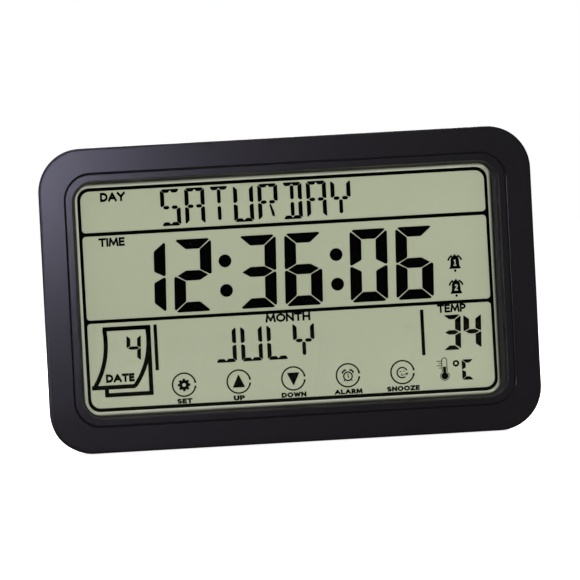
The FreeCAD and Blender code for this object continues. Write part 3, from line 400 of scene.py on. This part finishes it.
def bar_along(path, width, reach=0.0, sharpest=0.4):
    """A band of one width along a path; its square ends can reach past the path's."""
    points = [Vector(point) for point in path]
    before_first = (points[0] - points[1]).normalized() * reach
    past_last = (points[-1] - points[-2]).normalized() * reach
    points[0] = points[0] + before_first
    points[-1] = points[-1] + past_last
    left, right = [], []
    for n, here in enumerate(points):
        ahead = (points[n + 1] - here).normalized() if n < len(points) - 1 else None
        behind = (here - points[n - 1]).normalized() if n else None
        onward = ahead or behind
        along = (onward + (behind or ahead)).normalized()
        side = Vector((-along.y, along.x))
        lean = max(side.dot(Vector((-onward.y, onward.x))), sharpest)
        left.append(tuple(here + side * (width / 2 / lean)))
        right.append(tuple(here - side * (width / 2 / lean)))
    return left + right[::-1]


def select_only(thing):
    """Select one object alone and make it the active one."""
    bpy.ops.object.select_all(action="DESELECT")
    thing.select_set(True)
    bpy.context.view_layer.objects.active = thing


def place_on_display(thing, lift=0.0):
    """Turn a flat drawing to face the reader and set it on the display's film."""
    across = 2 * ART_HALF / DRAWN_WIDTH * MM
    up = 2 * ART_RISE / DRAWN_HEIGHT * MM
    thing.data.transform(Matrix.Diagonal((across, up, MM, 1.0)))
    thing.data.transform(Matrix.Rotation(math.radians(90), 4, "X"))
    corner = Vector((ART_ASIDE - ART_HALF, INK_FRONT - lift, MIDDLE_UP + ART_RISE - ART_DOWN)) * MM
    thing.data.transform(Matrix.Translation(corner))


def flat_curve():
    """A flat curve object with nothing drawn on it yet."""
    bpy.ops.object.select_all(action="DESELECT")
    bpy.ops.curve.primitive_bezier_circle_add(radius=1, location=(0, 0, 0))
    thing = bpy.context.object
    thing.data.dimensions = "2D"
    thing.data.splines.clear()
    return thing


def set_spline(curve, outline):
    """Add a closed outline of straight steps to a curve."""
    spline = curve.splines.new("POLY")
    spline.points.add(len(outline) - 1)
    for point, (x, y) in zip(spline.points, outline):
        point.co = (x, -y, 0, 1)
    spline.use_cyclic_u = True


def drawn(name, outlines, lift=0.0):
    """Thin shapes that fill the outlines; an outline inside another is a hole in it."""
    thing = flat_curve()
    thing.name = name
    thing.data.fill_mode = "BOTH"
    thing.data.extrude = INK_THICKNESS / 2
    for outline in outlines:
        set_spline(thing.data, outline)
    bpy.ops.object.convert(target="MESH")
    thing = bpy.context.object
    place_on_display(thing, lift)
    return thing


# Each capital letter: its width, then its strokes, where the letter is one unit high.
STROKES = {
    "A": (0.9, [(0, 1), (0.43, 0.06)], [(0.47, 0.06), (0.9, 1)], [(0.17, 0.68), (0.73, 0.68)]),
    "D": (0.76, [(0, 0), (0, 1)], [(0, 0), *oval(0.26, 0.5, 0.5, 0.5, -90, 90), (0, 1)]),
    "E": (0.5, [(0.5, 0), (0, 0), (0, 1), (0.5, 1)], [(0, 0.48), (0.45, 0.48)]),
    "H": (0.7, [(0, 0), (0, 1)], [(0, 0.48), (0.7, 0.48)], [(0.7, 0), (0.7, 1)]),
    "I": (0.0, [(0, 0), (0, 1)]),
    "L": (0.48, [(0, 0), (0, 1), (0.48, 1)]),
    "M": (
        1.0,
        [(0, 1), (0.12, 0)],
        [(0.14, 0.06), (0.5, 0.84)],
        [(0.5, 0.84), (0.86, 0.06)],
        [(0.88, 0), (1, 1)],
    ),
    "N": (0.74, [(0, 1), (0, 0)], [(0.03, 0.05), (0.71, 0.95)], [(0.74, 1), (0.74, 0)]),
    "O": (0.9, oval(0.45, 0.5, 0.45, 0.5, 90, 270), oval(0.45, 0.5, 0.45, 0.5, -90, 90)),
    "P": (0.54, [(0, 0), (0, 1)], [(0, 0), *oval(0.27, 0.29, 0.29, 0.29, -90, 90), (0, 0.58)]),
    "R": (
        0.58,
        [(0, 0), (0, 1)],
        [(0, 0), *oval(0.27, 0.29, 0.29, 0.29, -90, 90), (0, 0.58)],
        [(0.24, 0.58), (0.6, 1)],
    ),
    "S": (0.6, oval(0.3, 0.25, 0.29, 0.25, -60, -270) + oval(0.3, 0.75, 0.31, 0.25, -90, 122)[1:]),
    "T": (0.7, [(0, 0), (0.7, 0)], [(0.35, 0), (0.35, 1)]),
    "U": (0.66, [(0, 0), (0, 0.62), *oval(0.33, 0.65, 0.33, 0.35, 180, 0), (0.66, 0.62), (0.66, 0)]),
    "W": (
        1.1,
        [(0, 0), (0.27, 0.94)],
        [(0.27, 0.94), (0.55, 0.14)],
        [(0.55, 0.14), (0.83, 0.94)],
        [(0.83, 0.94), (1.1, 0)],
    ),
    "Y": (0.84, [(0, 0), (0.42, 0.5)], [(0.84, 0), (0.42, 0.5)], [(0.42, 0.5), (0.42, 1)]),
    "Z": (0.68, [(0, 0), (0.68, 0)], [(0.68, 0), (0, 1)], [(0, 1), (0.68, 1)]),
}


def lettered(name, word, box, weight, gap, narrow=1.0):
    """One word in plain capitals that fills a box, its strokes a share of the height wide."""
    left, right, top, bottom = box
    wide = sum(STROKES[letter][0] * narrow + weight + gap for letter in word) - gap
    layers = [[], [], [], []]
    start = weight / 2
    for letter in word:
        width, *strokes = STROKES[letter]
        for layer, stroke in zip(layers, strokes):
            path = [(start + x * narrow, weight / 2 + y * (1 - weight)) for x, y in stroke]
            band = bar_along(path, weight, reach=weight / 2, sharpest=0.7)
            layer.append([(left + x * (right - left) / wide, top + y * (bottom - top)) for x, y in band])
        start += width * narrow + weight + gap
    return [drawn(f"{name}_{n}", layer, lift=LIFT_STEP * n) for n, layer in enumerate(layers) if layer]


def joined(name, things, material):
    """Several shapes as one piece with one finish, which moves with the case."""
    select_only(things[0])
    for thing in things:
        thing.select_set(True)
    if len(things) > 1:
        bpy.ops.object.join()
    piece = bpy.context.object
    piece.name = name
    piece.data.materials.clear()
    piece.data.materials.append(material)
    bpy.ops.object.mode_set(mode="EDIT")
    bpy.ops.mesh.select_all(action="SELECT")
    bpy.ops.mesh.remove_doubles(threshold=MERGED_WITHIN)
    bpy.ops.mesh.normals_make_consistent(inside=False)
    bpy.ops.object.mode_set(mode="OBJECT")
    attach(piece, "case")
    return piece


# ------------------------------------------------------------------ the frame line

LINE_WIDTH = 0.72
LINE_BOTTOM = 102.1
# The radii of the line's outer corners, of its inner ones and of its joints with the cross
# lines; then the top and bottom of the three rows that it leaves open, and the inset of
# their left ends.
OUTER_RADIUS, INNER_RADIUS, FILLET = 5.6, 4.3, 1.6
ROWS = [(0.9, 19.83), (21.51, 59.91), (61.49, 100.42)]
ROW_LEFT = LINE_WIDTH + 0.05
# The whole line is a hair out of square: narrowed to a share of its width, set to the left,
# leaning to the right on its way down, and with its height changed by a percentage that
# runs from a little less at the left end to a little more at the right.
FRAME_NARROWED = 0.999
FRAME_ASIDE = -0.02
FRAME_LEAN = 0.0041
FRAME_GROWTH = (0.0016, -0.13)


def out_of_square(points):
    """Points of a square line moved to where the frame line has them."""
    per_mm, at_left = FRAME_GROWTH
    return [
        (FRAME_NARROWED * x + FRAME_ASIDE + FRAME_LEAN * y, y + y * (per_mm * x + at_left) / 100)
        for x, y in points
    ]


def make_frame_line():
    """The display's black frame line with its two cross lines, small fillets at each joint."""
    corners = [OUTER_RADIUS] * 4
    outlines = [rounded_box(-LINE_WIDTH, -LINE_WIDTH, DRAWN_WIDTH + LINE_WIDTH, LINE_BOTTOM, corners, 8)]
    for n, (top, bottom) in enumerate(ROWS):
        upper = INNER_RADIUS if n == 0 else FILLET
        lower = INNER_RADIUS if n == len(ROWS) - 1 else FILLET
        radii = [upper, upper, lower, lower]
        outlines.append(rounded_box(ROW_LEFT, top, DRAWN_WIDTH - LINE_WIDTH, bottom, radii, 8))
    return [drawn("frame_line", [out_of_square(outline) for outline in outlines])]


# ------------------------------------------------------------------ seven-segment digits

LIT = {
    "0": "abcdef",
    "1": "bc",
    "2": "abdeg",
    "3": "abcdg",
    "4": "bcfg",
    "6": "acdefg",
    "C": "adef",
}

# The sizes of a digit: its width and height, the widths of its posts and bars, the cut of
# its corners and the gap between its segments.
BIG_SIZE = (17.25, 33.4, 5.33, 4.6, 1.55, 0.31)
TEMPERATURE_SIZE = (8.16, 16.1, 2.65, 2.05, 0.8, 0.32)
DATE_SIZE = (6.6, 12.0, 1.75, 1.5, 0.55, 0.2)
UNIT_SIZE = (5.4, 9.4, 1.8, 1.6, 0.5, 0.14)

# The time: the left side of each digit and their top, then where the middles of the spots
# between them lie, along and down.
TIME = "123606"
TIME_LEFTS = (20.83, 41.89, 71.57, 92.66, 122.66, 143.71)
TIME_TOP = 25.07
SPOTS_ALONG = (65.5, 116.52)
SPOTS_DOWN = (36.0, 49.6)
SPOT_RADIUS = 2.95

# The small digits: what each shows, its left, its top, its sizes, its slant and how far its
# corners are rounded.
SMALL_DIGITS = [
    ("3", 163.8, 66.61, TEMPERATURE_SIZE, 0.03, 0.25),
    ("4", 173.19, 66.61, TEMPERATURE_SIZE, 0.03, 0.25),
    ("4", 18.43, 67.48, DATE_SIZE, 0.04, 0.2),
    ("C", 171.6, 87.39, UNIT_SIZE, 0.0, 0.15),
]


def seven_segments(width, height, post, bar, corner, gap):
    """The seven shapes of a digit whose joints are cut on the slant, by their usual letters."""
    half = height / 2
    # half of a gap, along the slant of a joint
    g = gap / 2 * 1.2
    mid = corner * 0.5
    top = [
        (corner, 0),
        (width - corner, 0),
        (width - mid - g, mid - g),
        (width - post - g, bar),
        (post + g, bar),
        (mid + g, mid - g),
    ]
    upper_left = [
        (0, corner),
        (mid - g, mid + g),
        (post, bar + g * 1.6),
        (post, half - bar / 2 - g * 1.6),
        (mid - g * 0.4, half - g),
        (0, half - g - mid * 0.7),
    ]
    tip = mid + g + 0.1 * post
    middle = [
        (tip, half),
        (post + g * 0.4, half - bar / 2),
        (width - post - g * 0.4, half - bar / 2),
        (width - tip, half),
        (width - post - g * 0.4, half + bar / 2),
        (post + g * 0.4, half + bar / 2),
    ]
    upper_right = flipped_across(upper_left, width)
    return {
        "a": top,
        "f": upper_left,
        "b": upper_right,
        "g": middle,
        "e": flipped_down(upper_left, height),
        "c": flipped_down(upper_right, height),
        "d": flipped_down(top, height),
    }


def digit(character, left, top, size, slant, softness):
    """The lit shapes of one digit, leaning a little to the right."""
    height = size[1]
    shapes = seven_segments(*size)
    outlines = []
    for name in LIT[character]:
        points = [(left + x + (height / 2 - y) * slant, top + y) for x, y in shapes[name]]
        outlines.append(soften(points, softness))
    return outlines


def make_time():
    """Hours, minutes and seconds, with two spots between each pair."""
    shapes = []
    for character, left in zip(TIME, TIME_LEFTS):
        shapes += digit(character, left, TIME_TOP, BIG_SIZE, 0.03, 0.5)
    for x in SPOTS_ALONG:
        for y in SPOTS_DOWN:
            shapes.append(disc(x, y, SPOT_RADIUS))
    return [drawn("time_digits", shapes)]


def make_small_digits():
    """The temperature, the day of the month and the temperature's unit."""
    return [drawn("small_digits", [shape for row in SMALL_DIGITS for shape in digit(*row)])]


# ------------------------------------------------------------------ weekday and month letters

LETTERS = {
    "S": "afghcd",
    "A": "afbghec",
    "T": "ail",
    "U": "fbecd",
    "R": "afbghek",
    "D": "adilbc",
    "Y": "fbghl",
    "J": "bcd",
    "L": "fed",
}

# The words: the left side of each letter, then the top, width and height of the letters.
WEEKDAY = ("SATURDAY", [37.35 + 11.165 * n for n in range(8)], 1.69, 9.0, 16.9)
MONTH = ("JULY", [58.93 + 11.987 * n for n in range(4)], 66.15, 9.7, 16.4)


def letter_segments(width, height):
    """The shapes of a letter with notched top and bottom bars and a split middle bar."""
    half = height / 2
    middle = width / 2
    bar, post, stem = 1.7, 1.8, 0.85
    top = [
        (0.95, 0.0),
        (width - 0.95, 0.0),
        (width - 0.45, 0.38),
        (width - 1.45, bar),
        (middle + 0.9, bar),
        (middle, 0.62),
        (middle - 0.9, bar),
        (1.45, bar),
        (0.45, 0.38),
    ]
    upper_left = [
        (-0.1, 0.8),
        (0.3, 0.62),
        (post, 2.0),
        (post, half - 1.0),
        (0.55, half - 0.22),
        (-0.1, half - 0.6),
    ]
    left_lens = [
        (1.0, half),
        (1.75, half - 0.8),
        (middle - 1.1, half - 0.8),
        (middle - 0.4, half),
        (middle - 1.1, half + 0.8),
        (1.75, half + 0.8),
    ]
    upper_stem = [
        (middle - stem, 1.9),
        (middle, 1.25),
        (middle + stem, 1.9),
        (middle + stem, half - 1.1),
        (middle, half - 0.5),
        (middle - stem, half - 1.1),
    ]
    leg = [
        (middle + 0.55, half + 1.15),
        (middle + 1.35, half + 0.95),
        (middle + 2.85, height - 3.4),
        (middle + 2.95, height - 1.5),
        (middle + 1.75, height - 2.1),
    ]
    upper_right = flipped_across(upper_left, width)
    return {
        "a": top,
        "f": upper_left,
        "b": upper_right,
        "g": left_lens,
        "h": flipped_across(left_lens, width),
        "i": upper_stem,
        "l": flipped_down(upper_stem, height),
        "e": flipped_down(upper_left, height),
        "c": flipped_down(upper_right, height),
        "d": flipped_down(top, height),
        "k": leg,
    }


def word_in_segments(word, lefts, top, width, height):
    """The lit shapes of one word."""
    outlines = []
    segments = letter_segments(width, height)
    for character, left in zip(word, lefts):
        for name in LETTERS[character]:
            points = [(left + x, top + y) for x, y in segments[name]]
            outlines.append(soften(points, 0.3))
    return outlines


def make_words():
    """The weekday in the first row and the month in the third."""
    return [drawn("weekday", word_in_segments(*WEEKDAY)), drawn("month", word_in_segments(*MONTH))]


# ------------------------------------------------------------------ calendar leaf and dividers

LEAF_LINE = 1.95
LEAF_PLACE = (0.3, 61.88)
DIVIDERS = [(31.2, 63.27, 32.8, 84.27), (153.63, 63.5, 155.23, 84.4)]


def make_calendar():
    """A leaf that curls forward off the page behind it, and the lines beside the month."""
    along, down = LEAF_PLACE
    paths = [
        [(7.6, 2.35), (29.4, 2.35)],
        bend((8.35, 2.3), (10.3, 17.5), (2.6, 29.0), 14),
        [(1.4, 29.05), (21.5, 29.05)],
        bend((28.0, 2.3), (29.9, 17.5), (21.2, 29.0), 14),
        [(28.55, 1.6), (28.55, 33.4)],
        [(29.3, 32.6), (7.5, 32.6)],
        [(8.2, 33.3), (8.2, 29.6)],
    ]
    shapes = []
    for n, path in enumerate(paths):
        stroke = [(x + along, y + down) for x, y in bar_along(path, LEAF_LINE)]
        shapes.append(drawn(f"leaf_{n}", [stroke], lift=LEAF_STEP * n))
    dividers = [rounded_box(*box, [0.1] * 4, 2) for box in DIVIDERS]
    return shapes + [drawn("dividers", dividers)]


# ------------------------------------------------------------------ touch keys

# Where the middles of the rings lie, along and down.
KEYS_ALONG = [43.87 + 25.08 * n for n in range(5)]
KEYS_DOWN = 91.6
RING_RADIUS = 5.28
RING_LINE = 0.7
# The parts of a ring, which is open at its right and thicker at its ends: where each starts
# and ends, in degrees clockwise from the right, its width and its steps.
RING_PARTS = [
    (8, 180, RING_LINE, 36),
    (180, 354, RING_LINE, 36),
    (8, 20, RING_LINE * 1.25, 6),
    (342, 354, RING_LINE * 1.25, 6),
]
# The words below the rings, each with its left and right ends; then their top and bottom.
KEY_WORDS = [
    ("SET", 40.48, 47.28),
    ("UP", 66.39, 71.29),
    ("DOWN", 88.37, 99.57),
    ("ALARM", 112.71, 125.41),
    ("SNOOZE", 136.8, 151.7),
]
KEY_WORD_ROW = (97.9, 100.2)
KEY_WORD_WEIGHT, KEY_WORD_GAP, KEY_WORD_NARROW = 0.295, 0.05, 0.8
# How far a word's box reaches past the ends that are given for the word.
WORD_MARGIN = 0.1


def gear(x, y):
    """A toothed wheel with a hole."""
    outline = []
    teeth = 8
    for n in range(teeth):
        for offset, radius in ((-15.5, 2.25), (-11, 2.95), (11, 2.95), (15.5, 2.25)):
            angle = math.radians(360 / teeth * n + offset)
            outline.append((x + radius * math.cos(angle), y + radius * math.sin(angle)))
    return [outline, disc(x, y, 0.82, 24)]


def arrow(x, y, way):
    """A solid triangle that points up, or down where the way is -1."""
    corners = [(x, y - way * 3.4), (x + way * 2.9, y + way * 2.7), (x - way * 2.9, y + way * 2.7)]
    return [soften(corners, 0.5)]


def alarm_clock(x, y):
    """A round clock with two bells, two feet and its hands."""
    shapes = [
        bar_along(arc(x, y + 0.35, 1.95, 0, 180), 0.62),
        bar_along(arc(x, y + 0.35, 1.95, 180, 360), 0.62),
        bar_along([(x, y - 0.9), (x + 0.05, y + 0.4), (x + 0.5, y + 1.05)], 0.45),
    ]
    for side in (-1, 1):
        dome = ((0.75, -2.25), (1.5, -2.55), (2.35, -1.75), (2.45, -1.0))
        shapes.append(bar_along([(x + side * a, y + b) for a, b in dome], 0.75))
        shapes.append(bar_along([(x + side * 1.45, y + 1.95), (x + side * 1.95, y + 2.55)], 0.52))
    return [[shape] for shape in shapes]


def sleeping_face(x, y):
    """A round face, open at its right, with shut eyes, a mouth and short strokes beside it."""
    shapes = [
        bar_along(arc(x, y, 2.35, 55, 200), 0.62),
        bar_along(arc(x, y, 2.35, 200, 338), 0.62),
        bar_along([(x - 1.25, y - 0.55), (x - 0.45, y - 0.45)], 0.42),
        bar_along([(x + 0.45, y - 0.75), (x + 1.15, y - 0.5)], 0.42),
        bar_along(arc(x - 0.1, y + 0.95, 0.42, 0, 330, 14), 0.28),
        bar_along([(x + 0.6, y + 0.85), (x + 1.35, y + 0.85), (x + 1.9, y + 0.55)], 0.3),
        bar_along([(x + 1.5, y + 0.4), (x + 2.75, y + 0.7)], 0.4),
        bar_along([(x + 2.3, y + 0.15), (x + 1.95, y + 1.3)], 0.4),
    ]
    return [[shape] for shape in shapes]


def make_keys():
    """Five rings, each open at its right, with a picture inside and a word below."""
    groups = []
    for x in KEYS_ALONG:
        for start, end, width, steps in RING_PARTS:
            groups.append([bar_along(arc(x, KEYS_DOWN, RING_RADIUS, start, end, steps), width)])
    groups.append(gear(KEYS_ALONG[0], KEYS_DOWN + 0.1))
    groups.append(arrow(KEYS_ALONG[1], KEYS_DOWN, 1))
    groups.append(arrow(KEYS_ALONG[2], KEYS_DOWN, -1))
    groups += alarm_clock(KEYS_ALONG[3], KEYS_DOWN + 0.1)
    groups += sleeping_face(KEYS_ALONG[4] - 0.1, KEYS_DOWN + 0.2)
    shapes = [drawn(f"key_{n}", group, lift=LIFT_STEP * n) for n, group in enumerate(groups)]
    for word, left, right in KEY_WORDS:
        box = (left - WORD_MARGIN, right + WORD_MARGIN, *KEY_WORD_ROW)
        name = "key_" + word.lower()
        shapes += lettered(name, word, box, KEY_WORD_WEIGHT, KEY_WORD_GAP, KEY_WORD_NARROW)
    return shapes


# ------------------------------------------------------------------ labels and pictures

# Half of a bell's outline from its crown down, and the numbers that are left clear in it,
# all from the bell's middle.
BELL_HALF = [
    (0.4, -3.4),
    (0.5, -2.85),
    (1.65, -2.1),
    (1.95, -0.65),
    (2.05, 1.85),
    (2.65, 2.8),
    (2.65, 3.2),
]
NUMBERS = {
    1: [
        (-0.6, -0.9),
        (0.05, -1.5),
        (0.35, -1.5),
        (0.35, 1.0),
        (0.7, 1.0),
        (0.7, 1.45),
        (-0.65, 1.45),
        (-0.65, 1.0),
        (-0.15, 1.0),
        (-0.15, -0.6),
    ],
    2: [
        (-0.7, -0.8),
        (-0.4, -1.45),
        (0.35, -1.45),
        (0.75, -0.95),
        (0.65, -0.2),
        (-0.1, 0.85),
        (0.8, 0.85),
        (0.8, 1.4),
        (-0.85, 1.4),
        (-0.85, 0.9),
        (0.15, -0.35),
        (0.15, -0.75),
        (-0.1, -0.95),
        (-0.3, -0.55),
    ],
}
NUMBER_DOWN = 0.4
# The words: left, right, top and bottom of each, and its strokes' width as a share.
LABELS = [
    ("DAY", 9.94, 21.24, 1.8, 5.85, 0.28),
    ("TIME", 8.2, 20.0, 22.58, 26.38, 0.25),
    ("DATE", 8.43, 21.33, 84.98, 88.68, 0.3),
    ("MONTH", 82.73, 103.13, 61.6, 65.25, 0.245),
    ("TEMP", 161.71, 174.61, 61.68, 65.33, 0.245),
]
LABEL_GAP = 0.03


def bell(x, y, number):
    """A ringing bell with its number left clear."""
    body = BELL_HALF + [(-a, b) for a, b in reversed(BELL_HALF)]
    outlines = [soften(body, 0.35), [(a, b + NUMBER_DOWN) for a, b in NUMBERS[number]]]
    groups = [[[(x + a, y + b) for a, b in outline] for outline in outlines]]
    groups.append([disc(x, y + 4.1, 0.58, 16)])
    for start, end in ((192, 247), (-67, -12)):
        groups.append([bar_along(arc(x, y, 3.1, start, end, 10), 0.8)])
    return groups


def thermometer(x, y):
    """A bulb thermometer, filled to the middle of its tube, with short lines beside it."""
    groups = [
        [bar_along(arc(x, y - 3.85, 1.15, 180, 360, 12), 0.36)],
        [bar_along([(x - 1.15, y - 3.85), (x - 1.15, y + 1.5)], 0.36)],
        [bar_along([(x + 1.15, y - 3.85), (x + 1.15, y + 1.5)], 0.36)],
        [rounded_box(x - 0.72, y - 0.95, x + 0.72, y + 2.4, [0.1, 0.1, 0.3, 0.3], 4)],
        [disc(x, y + 3.3, 1.6, 28)],
        [bar_along(arc(x, y + 3.3, 2.0, -50, 230, 28), 0.34)],
    ]
    for n, length in enumerate((2.0, 1.0, 2.0, 1.0)):
        up = y - 3.55 + 1.05 * n
        groups.append([bar_along([(x - 1.5 - length, up), (x - 1.3, up)], 0.34)])
    return groups


def make_labels():
    """The two bells, the thermometer, the degree ring and the words of the rows."""
    groups = bell(170.8, 42.35, 1) + bell(170.85, 53.8, 2) + thermometer(163.62, 91.13)
    groups.append([disc(168.97, 88.95, 1.52, 28), disc(168.97, 88.95, 0.62, 20)])
    shapes = [drawn(f"mark_{n}", group, lift=LIFT_STEP * n) for n, group in enumerate(groups)]
    for word, left, right, top, bottom, weight in LABELS:
        box = (left - WORD_MARGIN, right + WORD_MARGIN, top - WORD_MARGIN, bottom + WORD_MARGIN)
        shapes += lettered("label_" + word.lower(), word, box, weight, LABEL_GAP)
    return shapes


joined("ink_frame", make_frame_line(), ink_black)
joined("ink_time", make_time(), ink_black)
joined("ink_small_digits", make_small_digits(), ink_black)
joined("ink_words", make_words(), ink_black)
joined("ink_calendar", make_calendar(), ink_black)
joined("ink_keys", make_keys(), ink_black)
joined("ink_labels", make_labels(), ink_black)

# ------------------------------------------------------------------ the frame's shadow line

# The filler's inset from the case's edge and the radius of its outer corners, then its
# section: how far each corner lies inwards of that, and how far behind the front face.
FILLER_INSET, FILLER_RADIUS = 11.32, 12.5
FILLER_WIDTH = 0.96
FILLER_DEPTH = 0.98
FILLER_SECTION = [(0.0, FILLER_DEPTH), (FILLER_WIDTH, FILLER_DEPTH), (0.17, 0.16), (0.0, 0.02)]


def make_shadow_line():
    """A dark filler in the frame's groove; its face slopes down towards the display."""
    front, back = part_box("front_housing")
    half = back[0] / MM - FILLER_INSET
    top = 2 * MIDDLE_UP - FILLER_INSET
    profile = flat_curve()
    set_spline(profile.data, FILLER_SECTION)
    ring = flat_curve()
    ring.data.fill_mode = "NONE"
    set_spline(ring.data, rounded_box(-half, -top, half, -FILLER_INSET, [FILLER_RADIUS] * 4, 24))
    ring.data.bevel_mode = "OBJECT"
    ring.data.bevel_object = profile
    bpy.ops.object.convert(target="MESH")
    bpy.ops.object.shade_flat()
    ring = bpy.context.object
    ring.data.transform(Matrix.Diagonal((MM, MM, MM, 1.0)))
    ring.data.transform(Matrix.Rotation(math.radians(90), 4, "X"))
    ring.data.transform(Matrix.Translation((0.0, front[1], 0.0)))
    bpy.data.objects.remove(profile)
    return ring


joined("shadow_line", [make_shadow_line()], groove_black)

# ------------------------------------------------------------------ floor, lights and camera

# The floor's side and how far it lies below the foot, then the tints of the lights.
FLOOR_SIZE = 6
FLOOR_DROP = 0.0005
COOL = "E0DEFF"
NEUTRAL = "F4F2FF"


def make_floor():
    """A pale floor, lifted to white where no shadow lies."""
    bpy.ops.object.select_all(action="DESELECT")
    bpy.ops.mesh.primitive_plane_add(size=FLOOR_SIZE, location=(0, 0, -FLOOR_DROP))
    floor = bpy.context.object
    floor.name = "floor"
    floor.visible_glossy = False
    material, tree, shader, place = new_material("white_paper_sweep")
    flecks = grain(tree, place, 40.0)
    paper = between(tree, flecks, colour("E4E4E4"), colour("E8E8E8"))
    tree.links.new(paper, shader.inputs["Base Color"])
    shader.inputs["Roughness"].default_value = 0.9
    path = add(tree, "ShaderNodeLightPath")
    lift = spread(tree, path.outputs["Is Camera Ray"], 0.0, 0.85)
    shader.inputs["Emission Color"].default_value = (1, 1, 1, 1)
    tree.links.new(lift, shader.inputs["Emission Strength"])
    floor.data.materials.append(material)


def soft_light(name, where, size, power, target=(0.0, 0.0, 0.07), tint="FFFFFF", only=None):
    """A softbox; it can be kept to the even light alone or to the sheen alone."""
    bpy.ops.object.light_add(type="AREA", location=where)
    lamp = bpy.context.object
    lamp.name = name
    lamp.data.shape = "RECTANGLE"
    lamp.data.size, lamp.data.size_y = size
    lamp.data.energy = power
    lamp.data.color = colour(tint)[:3]
    lamp.rotation_euler = (Vector(target) - Vector(where)).to_track_quat("-Z", "Y").to_euler()
    lamp.visible_glossy = only != "even"
    lamp.visible_diffuse = only != "sheen"


def make_world():
    """White to the camera, even daylight on surfaces, and a dark room in reflections."""
    world = bpy.data.worlds.new("studio")
    bpy.context.scene.world = world
    world.use_nodes = True
    tree = world.node_tree
    daylight = tree.nodes["Background"]
    path = add(tree, "ShaderNodeLightPath")
    daylight.inputs["Color"].default_value = colour("FFFFFF")
    daylight.inputs["Strength"].default_value = 0.3
    room = add(tree, "ShaderNodeBackground", inputs={"Color": colour("FFFFFF"), "Strength": 0.07})
    bright = add(tree, "ShaderNodeBackground", inputs={"Color": (1, 1, 1, 1), "Strength": 1.0})

    def by_ray(ray, other, seen):
        """One light for a kind of ray and another for all the rest."""
        links = {"Fac": path.outputs[ray], 1: other.outputs[0], 2: seen.outputs[0]}
        return add(tree, "ShaderNodeMixShader", links=links)

    mirrored = by_ray("Is Glossy Ray", daylight, room)
    mix = by_ray("Is Camera Ray", mirrored, bright)
    tree.links.new(mix.outputs[0], tree.nodes["World Output"].inputs["Surface"])


def make_camera():
    """A very long lens, a little to the left of and above the display's middle."""
    aside, above, roll = (math.radians(angle) for angle in (9.88, 1.86, -2.93))
    distance = 9.932
    target = Vector((0.0, -0.010, 0.069))
    level = math.cos(above)
    back = Vector((-math.sin(aside) * level, -math.cos(aside) * level, math.sin(above)))
    right = (-back).cross(Vector((0, 0, 1))).normalized()
    upward = right.cross(-back)
    across = right * math.cos(roll) + upward * math.sin(roll)
    up = upward * math.cos(roll) - right * math.sin(roll)
    bpy.ops.object.camera_add()
    camera = bpy.context.object
    turn = Matrix((across, up, back)).transposed().to_4x4()
    camera.matrix_world = Matrix.Translation(target + back * distance) @ turn
    camera.data.lens = 1366.2
    camera.data.sensor_width = 36.0
    camera.data.shift_x = 0.00113
    camera.data.shift_y = -0.00112
    camera.data.clip_end = 100.0
    bpy.context.scene.camera = camera


make_floor()
make_world()
soft_light("left_softbox", (-0.9, -1.7, 0.2), (1.0, 0.8), 19.6, only="even")
soft_light("right_softbox", (0.9, -1.7, 0.2), (1.0, 0.8), 19.6, only="even")
soft_light("near_softbox", (-0.11, -0.2, 0.134), (0.06, 0.06), 0.31, (-0.08, 0, 0.11), COOL, "sheen")
soft_light("far_softbox", (-1.0, -0.42, 0.2), (0.3, 0.3), 1.1, (0.1, 0, 0.09), NEUTRAL, "sheen")
soft_light("side_softbox", (-0.75, -0.75, 0.1), (0.3, 0.3), 1.7, (-0.1, 0, 0.09), COOL, "sheen")
soft_light("corner_softbox", (-0.44, -0.55, 0.59), (0.3, 0.3), 1.3, (-0.1, 0, 0.13), COOL, "sheen")
soft_light("upper_softbox", (0.0, -0.48, 0.76), (0.3, 0.3), 0.5, (-0.07, 0, 0.13), COOL, "sheen")
soft_light("rear_softbox", (0.3, 1.0, 0.9), (0.8, 0.8), 26.0)
make_camera()

bpy.context.scene.view_settings.view_transform = "Standard"
